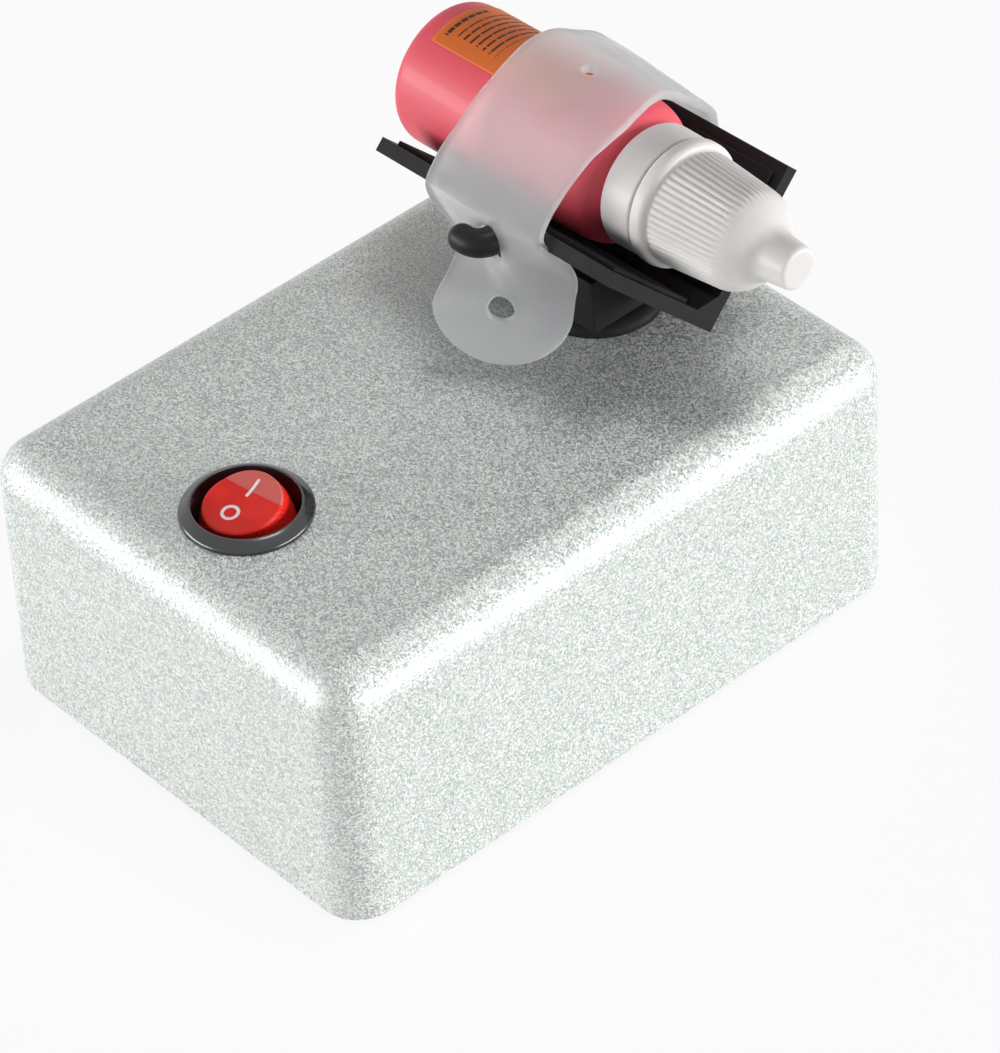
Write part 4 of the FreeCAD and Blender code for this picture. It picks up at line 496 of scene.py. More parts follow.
@dataclass(frozen=True)
class Grainy:
    """Moulded, cast or rubber surface: two close colours and a roughness that follow a fine grain."""

    name: str
    colour: Colour
    second: Colour
    roughness: Pair
    grain: float = 0.4
    depth: float = 0.01
    metallic: float = 0.0
    coat: float = 0.0
    specular: float = 0.5
    waxy: float = 0.0
    coat_roughness: float = 0.12
    wax_radius: Triple = (1.0, 0.9, 0.85)
    wax_depth: float = 0.0025
    broad: float = 14.0
    relief: float = 0.5

    def material(self) -> Material:
        """Build the node tree: a broad noise moves colour and roughness, and a fine one is the relief.

        Returns:
            The finished material.
        """
        wiring = Wiring(self.name, Metallic=self.metallic, Coat_Weight=self.coat,
                        Coat_Roughness=self.coat_roughness, Specular_IOR_Level=self.specular,
                        Subsurface_Weight=self.waxy, Subsurface_Radius=self.wax_radius,
                        Subsurface_Scale=self.wax_depth)
        fine, broad = wiring.noise(self.grain), wiring.noise(self.grain * self.broad, 2.0)
        wiring.blend(broad, self.colour, self.second, self.roughness)
        wiring.bump(fine, self.depth, self.relief)
        return wiring.material


@dataclass(frozen=True)
class Brushed:
    """Plated or machined metal: fine lines that run round or along the part."""

    name: str
    colour: Colour
    second: Colour
    roughness: Pair = (0.22, 0.4)
    stretch: Triple = (1.0, 1.0, 12.0)
    line: float = 1.2
    depth: float = 0.01
    relief: float = 0.3

    def material(self) -> Material:
        """Build the node tree: noise stretched along one axis colours, roughens and scratches the metal.

        Returns:
            The finished material.
        """
        wiring = Wiring(self.name, Metallic=1.0)
        turned = wiring.add("Mapping", {"Vector": wiring.place, "Scale": self.stretch}).outputs[0]
        lines = wiring.noise(self.line, 4.0, turned)
        wiring.blend(lines, self.colour, self.second, self.roughness)
        wiring.bump(lines, self.depth, self.relief)
        return wiring.material


@dataclass(frozen=True)
class Sparkle:
    """Silver paint with metal flakes: each small cell has its own shade, tint and lean."""

    name: str = "silver_sparkle"
    dark: Colour = (0.25, 0.305, 0.28)
    light: Colour = (0.885, 0.900, 0.875)
    flake: float = 0.27
    grain: float = 0.35
    flake_share: float = 0.85
    grain_share: float = 0.2
    tint: float = 0.05
    lean: float = 0.30
    roughness: Pair = (0.42, 0.6)

    def material(self) -> Material:
        """Build the node tree: flake colour from cells, and a normal that leans a little in each cell.

        Returns:
            The finished material.
        """
        wiring = Wiring(self.name, Metallic=0.25, Specular_IOR_Level=0.4)
        cells = wiring.cells(self.flake)
        grey = wiring.add("SeparateColor", {0: cells}).outputs[0]
        fine = wiring.noise(self.grain, 2.0)
        level = wiring.weighed((grey, self.flake_share), (fine, self.grain_share))
        base = wiring.mix(level, self.dark, self.light)
        wiring.shade("Base Color", wiring.mix(self.tint, base, cells))
        wiring.shade("Roughness", wiring.spread(grey, *self.roughness))
        offset = wiring.add("VectorMath", {0: cells, 1: (0.5, 0.5, 0.5)}, operation="SUBTRACT").outputs[0]
        scaled = wiring.add("VectorMath", {0: offset, "Scale": self.lean}, operation="SCALE").outputs[0]
        normal = wiring.add("NewGeometry").outputs["Normal"]
        summed = wiring.add("VectorMath", {0: normal, 1: scaled}, operation="ADD").outputs[0]
        wiring.shade("Normal", wiring.add("VectorMath", {0: summed}, operation="NORMALIZE").outputs[0])
        return wiring.material


@dataclass(frozen=True)
class Silicone:
    """Frosted clear silicone: light passes through and is spread."""

    name: str = "frosted_silicone"
    colour: Colour = (0.87, 0.87, 0.88)
    cloudy: Colour = (0.77, 0.775, 0.79)
    cloud: float = 7.0
    skin: float = 0.6
    clearness: float = 0.78
    bending: float = 1.3
    roughness: Pair = (0.42, 0.55)
    depth: float = 0.02

    def material(self) -> Material:
        """Build the node tree: a rough transmission with faint clouds and a fine skin.

        Returns:
            The finished material.
        """
        wiring = Wiring(self.name, Transmission_Weight=self.clearness, IOR=self.bending,
                        Specular_IOR_Level=0.4)
        cloud = wiring.noise(self.cloud, 3.0)
        wiring.blend(cloud, self.colour, self.cloudy, self.roughness)
        wiring.bump(wiring.noise(self.skin), self.depth)
        return wiring.material


@dataclass(frozen=True)
class RedLens:
    """Translucent red button: a net of small lens cells under a clear face, with a painted gloss on its
    raised facet.
    """

    name: str = "red_lens"
    deep: Colour = (0.62, 0.006, 0.006)
    bright: Colour = (0.95, 0.034, 0.020)
    # paler red painted on the raised facet: a painted gloss that stands in for its reflection
    painted_gloss: Colour = (0.66, 0.135, 0.118)
    pitch: float = 0.62
    net_turn: float = math.radians(45)
    net_share: float = 0.35
    glow: float = 4.0
    glow_share: float = 0.85
    roughness: Pair = (0.22, 0.34)
    red_radius: Triple = (1.0, 0.08, 0.05)
    red_depth: float = 0.0012

    def material(self) -> Material:
        """Build the node tree: the net is the product of two sine waves that cross at right angles; the
        raised facet gets a painted gloss, a paler red.

        Returns:
            The finished material.
        """
        wiring = Wiring(self.name, Coat_Weight=0.15, Coat_Roughness=0.05, Specular_IOR_Level=0.15,
                        Subsurface_Weight=0.25, Subsurface_Radius=self.red_radius,
                        Subsurface_Scale=self.red_depth)
        turned = wiring.add("Mapping", {"Vector": wiring.place, "Rotation": (0.0, 0.0, self.net_turn)})
        parts = wiring.add("SeparateXYZ", {0: turned.outputs[0]}).outputs
        rate = 2.0 * math.pi / (self.pitch * MM)
        waves = [wiring.math("SINE", wiring.math("MULTIPLY", parts[axis], rate)) for axis in (0, 1)]
        net = wiring.spread(wiring.math("MULTIPLY", *waves), 0.0, 1.0, -1.0, 1.0)
        glow = wiring.noise(self.glow, 1.0)
        level = wiring.weighed((net, self.net_share), (glow, self.glow_share))
        red = wiring.mix(level, self.deep, self.bright)
        # painted gloss: the raised facet past the fold is mixed towards a paler red
        wiring.shade("Base Color", wiring.mix(self.past_fold(wiring), red, self.painted_gloss))
        wiring.shade("Roughness", wiring.spread(net, *self.roughness))
        return wiring.material

    def past_fold(self, wiring: Wiring) -> Socket:
        """1 on the raised facet, where the painted gloss goes: past the fold's plane and above the face's
        level, by two dot products.

        Args:
            wiring: the node tree of the finish.

        Returns:
            The mask of the painted gloss.
        """
        turn = RoundSwitch.mark_turn
        start = on_rocker(np.zeros(3))
        offset = wiring.add("VectorMath", {0: wiring.place, 1: tuple(start)}, operation="SUBTRACT").outputs[0]
        sides = []
        for way, limit in (((-math.sin(turn), math.cos(turn), 0.0), RoundSwitch.fold_at),
                           ((0.0, 0.0, 1.0), RoundSwitch.face)):
            end = on_rocker(np.array(way)) - start
            scaled = tuple(end / (end @ end))
            along = wiring.add("VectorMath", {0: offset, 1: scaled}, operation="DOT_PRODUCT").outputs["Value"]
            sides.append(wiring.math("GREATER_THAN", along, limit))
        return wiring.math("MULTIPLY", *sides)


@dataclass(frozen=True)
class Block:
    """A block of printed words: its reach along and across the label, and its words, in millimetres."""

    along: Pair
    across: Pair
    word: float
    pitch: float
    gap: float


@dataclass(frozen=True)
class Label:
    """Orange paper with plain printed bars: a title and fine lines cut into words."""

    name: str = "orange_label"
    paper: Colour = (0.62, 0.130, 0.026)
    shade: Colour = (0.70, 0.170, 0.042)
    ink: Colour = (0.012, 0.006, 0.004)
    darkness: float = 0.94
    blocks: tuple[Block, ...] = (
        Block((1.5, 2.35), (2.2, 12.0), 2.3, 5.0, 0.5),
        Block((3.9, 13.5), (3.0, 16.5), 3.4, 1.6, 0.6),
        Block((16.0, 31.0), (20.0, 44.0), 3.0, 2.0, 0.8))
    squeeze: float = 4.0
    fibre: float = 0.8
    roughness: Pair = (0.42, 0.6)
    depth: float = 0.01

    def words(self, wiring: Wiring, along: Socket, across: Socket, block: Block) -> Socket:
        """Rows of bars in a block: bricks whose joints are the paper between words and lines.

        Args:
            wiring: the label's node tree.
            along: millimetres from row to row.
            across: millimetres along each row.
            block: the words and where they are.

        Returns:
            1 on the ink, 0 on the paper.
        """
        squeezed = wiring.math("MULTIPLY", across, self.squeeze)
        place = wiring.add("CombineXYZ", {0: squeezed, 1: along}).outputs[0]
        white, black = (1.0, 1.0, 1.0), (0.0, 0.0, 0.0)
        bricks = wiring.add("TexBrick", {
            "Vector": place, "Color1": white, "Color2": white, "Mortar": black, "Scale": 1.0,
            "Mortar Size": block.gap, "Mortar Smooth": 0.2, "Brick Width": block.word * self.squeeze,
            "Row Height": block.pitch}, offset=0.37, squash=0.7, squash_frequency=3)
        bars = wiring.add("SeparateColor", {0: bricks.outputs["Color"]}).outputs[0]
        window = wiring.math("MULTIPLY", wiring.within(along, *block.along),
                             wiring.within(across, *block.across))
        return wiring.math("MULTIPLY", window, bars)

    def material(self) -> Material:
        """Build the node tree, which reads millimetres along and round the label from its attribute.

        Returns:
            The finished material.
        """
        wiring = Wiring(self.name, Specular_IOR_Level=0.2)
        wrap = wiring.add("Attribute", attribute_name="wrap").outputs["Vector"]
        along, across = wiring.add("SeparateXYZ", {0: wrap}).outputs[:2]
        first, *others = [self.words(wiring, along, across, block) for block in self.blocks]
        printed = reduce(lambda one, other: wiring.math("MAXIMUM", one, other), others, first)
        fibre = wiring.noise(self.fibre, 4.0)
        paper = wiring.mix(fibre, self.paper, self.shade)
        inked = wiring.math("MULTIPLY", printed, self.darkness)
        wiring.shade("Base Color", wiring.mix(inked, paper, self.ink))
        wiring.shade("Roughness", wiring.spread(fibre, *self.roughness))
        wiring.bump(fibre, self.depth)
        return wiring.material


@dataclass(frozen=True)
class Banded:
    """Colours in bands along one axis, as on a cell's sleeve or a stack of core sheets."""

    name: str
    axis: int
    period: float
    first: Colour
    second: Colour
    share: float = 0.5
    metallic: float = 0.3
    roughness: float = 0.4
    rougher: float = 0.15
    speck: float = 0.6
    depth: float = 0.03

    def material(self) -> Material:
        """Build the node tree: the place along the axis, modulo the period, is compared with a share.

        Returns:
            The finished material.
        """
        wiring = Wiring(self.name, Metallic=self.metallic)
        place = wiring.add("SeparateXYZ", {0: wiring.place}).outputs[self.axis]
        phase = wiring.math("FRACT", wiring.math("MULTIPLY", place, 1.0 / (self.period * MM)))
        band = wiring.math("LESS_THAN", phase, self.share)
        speck = wiring.noise(self.speck)
        wiring.shade("Base Color", wiring.mix(band, self.first, self.second))
        wiring.shade("Roughness", wiring.spread(speck, self.roughness, self.roughness + self.rougher))
        wiring.bump(band, self.depth)
        return wiring.material


class Finishes:
    """Every finish of the machine, by the record's material slots, and the one of the switch's marks."""

    def __init__(self) -> None:
        """Build all materials."""
        makers = {
            "case_plastic": Sparkle(),
            "black_rubber": Grainy("black_rubber", (0.010, 0.011, 0.012), (0.015, 0.016, 0.018),
                                   (0.5, 0.62), 0.3, 0.02, specular=0.12),
            "black_plastic": Grainy("black_plastic", (0.009, 0.009, 0.010), (0.013, 0.013, 0.014),
                                    (0.5, 0.6), specular=0.12),
            "gloss_black": Grainy("gloss_black", (0.008, 0.009, 0.011), (0.012, 0.013, 0.016),
                                  (0.22, 0.3), 0.5, 0.004, coat=0.6),
            "zinc_steel": Brushed("zinc_steel", (0.70, 0.71, 0.72), (0.56, 0.57, 0.59)),
            "cradle_metal": Grainy("cradle_black", (0.008, 0.008, 0.0085), (0.012, 0.012, 0.0125),
                                   (0.36, 0.46), 0.25, 0.01, specular=0.18),
            "brass": Brushed("brass", (0.80, 0.60, 0.28), (0.66, 0.47, 0.20)),
            "red_lens": RedLens(),
            "cell_sleeve": Banded("cell_sleeve", 1, 60.0, (0.55, 0.32, 0.12), (0.02, 0.02, 0.024),
                                  0.78, 0.4, 0.3),
            "magnet": Grainy("magnet_grey", (0.05, 0.05, 0.055), (0.09, 0.09, 0.095),
                             (0.5, 0.7), 0.3, 0.02, 0.6),
            "core_iron": Banded("core_sheets", 2, 0.5, (0.24, 0.24, 0.25), (0.12, 0.12, 0.13),
                                0.85, 0.9, 0.4),
            "red_lead": Grainy("red_lead", (0.50, 0.02, 0.02), (0.42, 0.015, 0.015), (0.38, 0.5)),
            "black_lead": Grainy("black_lead", (0.012, 0.012, 0.013), (0.02, 0.02, 0.02), (0.38, 0.5)),
            "clear_silicone": Silicone(),
            "coral_plastic": Grainy("coral_plastic", (0.66, 0.066, 0.095), (0.70, 0.080, 0.112),
                                    (0.5, 0.58), 1.2, 0.004, coat=0.08),
            "liquid": Grainy("coral_liquid", (0.72, 0.10, 0.15), (0.78, 0.13, 0.18),
                             (0.05, 0.1), 2.0, 0.001),
            "orange_label": Label(),
            "white_plastic": Grainy("white_plastic", (0.63, 0.610, 0.600), (0.67, 0.650, 0.640),
                                    (0.36, 0.46), 0.7, 0.004, specular=0.35, waxy=0.5),
        }
        self.slots = {slot: maker.material() for slot, maker in makers.items()}
        mark = Grainy("mark_white", (0.90, 0.78, 0.78), (0.94, 0.84, 0.84), (0.35, 0.45))
        self.mark = mark.material()

    def of(self, slot: str) -> Material:
        """Finish of a material slot."""
        return self.slots[slot]


# ---------------------------------------------------------------- case

@dataclass
class Case:
    """Shell, base, feet and door: merged copies of the solids with rounded edges."""

    edge: float = 0.3

    def build(self, finishes: Finishes) -> None:
        """Copy and dress the case's visible solids.

        Args:
            finishes: every finish of the machine.
        """
        for name, node, body, slot, edge in (
                ("shell", "case_shell", "case", "case_plastic", self.edge),
                ("underside", "base_plate", "case", "case_plastic", self.edge),
                ("feet", "rubber_feet", "case", "black_rubber", self.edge),
                ("underside_screws", "case_screws", "case", "zinc_steel", 0.1),
                ("door_plate", "battery_door", "door", "case_plastic", 0.2)):
            Piece(name, body, slot, (node,)).copy(finishes.of(slot), edge)


@dataclass
class Boot:
    """Rubber boot round the hub, turned from one profile."""

    bore: float = 8.3
    radius: float = 12.0
    height: float = 2.6
    lip: float = 11.0
    lip_start: float = -3.3
    lip_end: float = -2.4
    waist: float = 9.6
    turns: int = 96

    def profile(self) -> Points:
        """Closed outline (up, radius) from the lip under the case's top to the rounded crown.

        Returns:
            Array of (up, radius) points.
        """
        bore, radius, height = self.bore, self.radius, self.height
        return rounded([
            (self.lip_start, bore), (self.lip_start, self.lip, 0.3), (self.lip_end, self.lip, 0.3),
            (self.lip_end, self.waist), (0.0, self.waist), (0.0, radius, 0.2),
            (height * 0.55, radius, 0.9), (height, radius - 1.7, 1.0), (height, bore, 0.4)])

    def build(self, finishes: Finishes) -> None:
        """Carry the profile round the hub's axis."""
        Piece("boot", "case", "black_rubber", ("rubber_boot",)).turned(
            self.profile(), self.turns, on_boot, finishes.of("black_rubber"), 50.0)


# ---------------------------------------------------------------- switch

@dataclass
class RoundSwitch:
    """Round rocker switch: bezel with its well, red button with two facets, and its two marks."""

    bezel: float = 11.5
    mouth: float = 9.3
    height: float = 2.0
    outer_wall: float = 0.75
    slope: float = 1.75
    well: float = 8.75
    well_floor: float = -7.5
    well_under: float = -8.5
    stem_hole: float = 3.0
    barrel: float = 10.0
    barrel_bore: float = 8.9
    barrel_floor: float = -13.0
    barrel_end: float = -14.2
    button: float = 8.25
    crown: float = 7.0
    rim: float = 0.55
    flank: float = 1.6
    face: float = 5.15
    skirt: float = -2.5
    stem: tuple[Pair, ...] = ((-6.2, 1.3), (-6.75, 1.18), (-7.2, 0.85), (-7.45, 0.4), (-7.5, 0.0))
    fold_at: float = 2.9
    fold_slope: float = math.tan(math.radians(11))
    fold_soft: float = 0.02
    dish: float = 0.012
    mark_turn: float = math.radians(8)
    mark_across: float = -0.45
    mark_lift: float = 0.07
    mark_depth: float = 0.12
    bar_half: float = 0.27
    bar_ends: Pair = (1.65, 5.35)
    bar_middle: float = 3.5
    bar_full: float = 1.8
    ring_up: float = -2.5
    ring_radii: Pair = (1.12, 1.68)
    face_rows: int = 22
    rim_rows: int = 7
    flank_rows: int = 8
    turns: int = 128

    def build(self, finishes: Finishes) -> None:
        """Build the frame, the button and the marks.

        Args:
            finishes: every finish of the machine.
        """
        self.frame(finishes)
        self.rocker(finishes)
        self.marks(finishes)

    def frame(self, finishes: Finishes) -> None:
        """Turn the bezel, the well and the barrel from one closed profile (up, radius).

        Args:
            finishes: every finish of the machine.
        """
        profile = rounded([
            (self.well_under, self.stem_hole), (self.well_under, self.barrel_bore),
            (self.barrel_floor, self.barrel_bore), (self.barrel_floor, 0.0), (self.barrel_end, 0.0),
            (self.barrel_end, self.barrel, 0.4), (0.0, self.barrel), (0.0, self.bezel, 0.15),
            (self.outer_wall, self.bezel, 0.45), (self.height, self.bezel - self.slope, 0.7),
            (self.height, self.mouth, 0.25), (0.4, self.mouth - 0.3, 0.4), (-1.0, self.well, 0.4),
            (self.well_floor, self.well), (self.well_floor, self.stem_hole)])
        Piece("bezel", "case", "gloss_black", ("switch_frame",)).turned(
            profile, self.turns, on_switch, finishes.of("gloss_black"), 40.0)

    def rise(self, x: Points, y: Points) -> Points:
        """Height of the button's face: a shallow dish, and past a fold line a plane that climbs.

        The fold is smooth: (v + sqrt(v^2 + w^2)) / 2 times the slope, where v is the distance past the line.

        Args:
            x: across, in the rocker's own millimetres.
            y: along, in the same frame.

        Returns:
            Heights above the rocker's pin.
        """
        cos, sin = math.cos(self.mark_turn), math.sin(self.mark_turn)
        past = y * cos - x * sin - self.fold_at
        climb = self.fold_slope * (past + np.sqrt(past ** 2 + self.fold_soft)) / 2
        return self.face + self.dish * (x * x + y * y) * 0.5 + climb

    def rocker(self, finishes: Finishes) -> None:
        """Button and stem: a turned profile whose top rows are lifted by the face's height.

        Below the rim the flank swells from the crown's radius to the button's, as a quarter of a sine wave.

        Args:
            finishes: every finish of the machine.
        """
        inner = self.crown - self.rim
        top = np.linspace(0.0, inner, self.face_rows)
        rim = np.linspace(0.0, math.pi / 2, self.rim_rows)[1:]
        side = np.linspace(0.0, 1.0, self.flank_rows)[1:]
        stem = np.array([(self.skirt, self.button - 0.3), (self.skirt, self.stem[0][1]), *self.stem])
        swell = np.sin(np.clip(side * self.flank, 0.0, 1.0) * math.pi / 2)
        radius = np.concatenate([top, inner + self.rim * np.sin(rim),
                                 self.crown + (self.button - self.crown) * swell, stem[:, 1]])
        height = np.concatenate([np.zeros(len(top)), -(self.rim * (1.0 - np.cos(rim))),
                                 -self.rim - side * (self.face - self.rim - self.skirt), np.zeros(len(stem))])
        share = np.concatenate([np.ones(len(top) + len(rim)), 1.0 - side, np.zeros(len(stem))])
        angle = around(self.turns)
        x, y = radius[:, None] * np.cos(angle), radius[:, None] * np.sin(angle)
        z = self.face + (self.rise(x, y) - self.face) * share[:, None] + height[:, None]
        z[-len(stem):] = stem[:, :1]
        points = np.stack([x, y, z], -1)
        Piece("button", "rocker", "red_lens", ("switch_rocker",)).skin(
            on_rocker(points), quads(len(radius), self.turns, False, True), finishes.of("red_lens"), 38.0)

    def on_face(self, x: Points, y: Points) -> Points:
        """Face points turned with the marks and lifted off the face.

        Args:
            x: across the marks, in millimetres.
            y: along the marks.

        Returns:
            Array of places in metres.
        """
        cos, sin = math.cos(self.mark_turn), math.sin(self.mark_turn)
        across, up = x * cos - y * sin, x * sin + y * cos
        return on_rocker(np.stack([across, up, self.rise(across, up) + self.mark_lift], -1))

    def marks(self, finishes: Finishes) -> None:
        """Bar and ring: an oblong grid with narrower ends and an annulus, both on the face's own height.

        Args:
            finishes: every finish of the machine.
        """
        x, y = np.meshgrid(np.linspace(-self.bar_half, self.bar_half, 4), np.linspace(*self.bar_ends, 24),
                           indexing="ij")
        x = x * np.where(np.abs(y - self.bar_middle) > self.bar_full, 0.72, 1.0)
        angle, radius = np.meshgrid(around(48)[0], np.linspace(*self.ring_radii, 4), indexing="ij")
        ring_x, ring_y = radius * np.cos(angle), radius * np.sin(angle) + self.ring_up
        for name, points, faces in (
                ("mark_on", self.on_face(x + self.mark_across, y), quads(4, 24)),
                ("mark_off", self.on_face(ring_x + self.mark_across, ring_y), quads(48, 4, True))):
            item = Piece(name, "rocker", "white_plastic").skin(points, faces, finishes.mark, closed=False)
            turn_up(item)
            thicken(item, self.mark_depth, -1.0)


def turn_up(item: Item) -> None:
    """Turn an open sheet's faces upwards where most of them look down.

    Args:
        item: the object, changed in place.
    """
    mesh = item.data
    normals = np.empty(len(mesh.polygons) * 3)
    mesh.polygons.foreach_get("normal", normals)
    if normals[2::3].sum() < 0:
        mesh.flip_normals()


# ---------------------------------------------------------------- holder

@dataclass
class Holder:
    """Cradle, saddle, hub, pads, screws and rivets: merged copies of the solids with rounded edges."""

    wall_edge: float = 0.28

    def build(self, finishes: Finishes) -> None:
        """Copy and dress the holder's visible solids.

        Args:
            finishes: every finish of the machine.
        """
        for name, node, slot, edge in (
                ("trough", "cradle", "cradle_metal", self.wall_edge),
                ("saddle_block", "saddle", "black_plastic", 0.3),
                ("hub_sleeve", "wobble_hub", "black_plastic", 0.2),
                ("liners", "grip_pads", "black_rubber", 0.15),
                ("trough_screws", "cradle_screws", "cradle_metal", 0.1),
                ("rivet_heads", "hook_rivets", "zinc_steel", 0.15)):
            Piece(name, "holder", slot, (node,)).copy(finishes.of(slot), edge)


@dataclass
class Hook:
    """A hook: a foot on its wall's outer face, and a stalk that turns into a round-ended horn.

    The sizes are the near hook's. The far one is turned by half a turn and stands lower.
    """

    name: str
    node: str
    foot_up: float
    raised: float
    side: float = -1.0
    foot_half: Pair = (7.2, 3.5)
    foot_thickness: float = 1.5
    foot_rim: float = 0.4
    valley: float = 19.3
    root: float = 2.7
    sunk: float = 0.5
    reach: float = -26.9
    bend: float = 3.2
    end: float = -1.5
    stalk: float = 2.6
    horn: float = 2.5
    taper: Pair = (0.2, 0.9)
    step: float = 0.5
    bend_steps: int = 14
    cap_steps: int = 10
    turns: int = 40

    def tube(self) -> Points:
        """Rings along the stalk, a quarter bend and the horn, closed by half a ball.

        A ring's point is centre + r (cos a n + sin a up), where n is level and square to the line.

        Returns:
            Array of (rings, turns, 3) in the holder's frame.
        """
        bend = np.linspace(0.0, math.pi / 2, self.bend_steps)
        corner = np.stack([self.root - self.bend + self.bend * np.cos(bend),
                           self.reach + self.bend - self.bend * np.sin(bend)], -1)
        height = self.foot_up + self.raised
        start = -(height - self.valley) + self.sunk
        line = np.concatenate([[(self.root, start)], corner, [(self.end, self.reach)]])
        line = resampled(line, self.step)
        way = np.gradient(line, axis=0)
        way /= np.linalg.norm(way, axis=1)[:, None]
        share = eased(np.linspace(0.0, 1.0, len(line)), *self.taper)
        radius = self.stalk + (self.horn - self.stalk) * share
        cap = np.linspace(0.0, math.pi / 2, self.cap_steps)[1:]
        line = np.concatenate([line[:1], line, line[-1] + way[-1] * (self.horn * np.sin(cap))[:, None]])
        way = np.concatenate([way[:1], way, np.repeat(way[-1:], len(cap), 0)])
        radius = np.concatenate([[0.0], radius, self.horn * np.cos(cap)])[:, None]
        angle = around(self.turns)
        x = line[:, :1] - way[:, 1:] * radius * np.cos(angle)
        y = line[:, 1:] + way[:, :1] * radius * np.cos(angle)
        return np.stack([x, y, height + radius * np.sin(angle)], -1)

    def plate(self) -> Points:
        """Foot: |x / a|^4 + |u / b|^4 = 1 carried out from the wall, with a rounded rim and closed middles.

        Returns:
            Array of (rows, turns, 3) in the holder's frame.
        """
        profile = rounded([(0.0, 0.0), (0.0, 1.0), (self.foot_thickness, 1.0, self.foot_rim),
                           (self.foot_thickness, 0.0)])
        angle = around(self.turns * 2)
        cos, sin = np.cos(angle), np.sin(angle)
        across = np.sign(cos) * np.sqrt(np.abs(cos)) * self.foot_half[0] * profile[:, 1:]
        rise = np.sign(sin) * np.sqrt(np.abs(sin)) * self.foot_half[1] * profile[:, 1:]
        out = profile[:, :1] + 0.0 * angle
        diagonal = math.sqrt(0.5)
        return np.stack([self.root + across, self.valley - self.foot_up - (rise + out) * diagonal,
                         self.foot_up + (rise - out) * diagonal], -1)

    def build(self, finishes: Finishes) -> None:
        """Join the tube and the foot into one piece.

        Args:
            finishes: every finish of the machine.
        """
        tube, plate = self.tube(), self.plate()
        points = np.concatenate([tube.reshape(-1, 3), plate.reshape(-1, 3)])
        faces = np.concatenate([quads(*tube.shape[:2], False, True),
                                quads(*plate.shape[:2], False, True) + tube.shape[0] * tube.shape[1]])
        points = points * [-self.side, -self.side, 1.0]
        Piece(self.name, "holder", "cradle_metal", (self.node,)).skin(
            leaning(points), faces, finishes.of("cradle_metal"), 45.0)


@dataclass(frozen=True)
class Table:
    """Values along the strap: (q, value) on its arc, then (height s, value) down its near side."""

    arc: tuple[Pair, ...]
    side: tuple[Pair, ...]


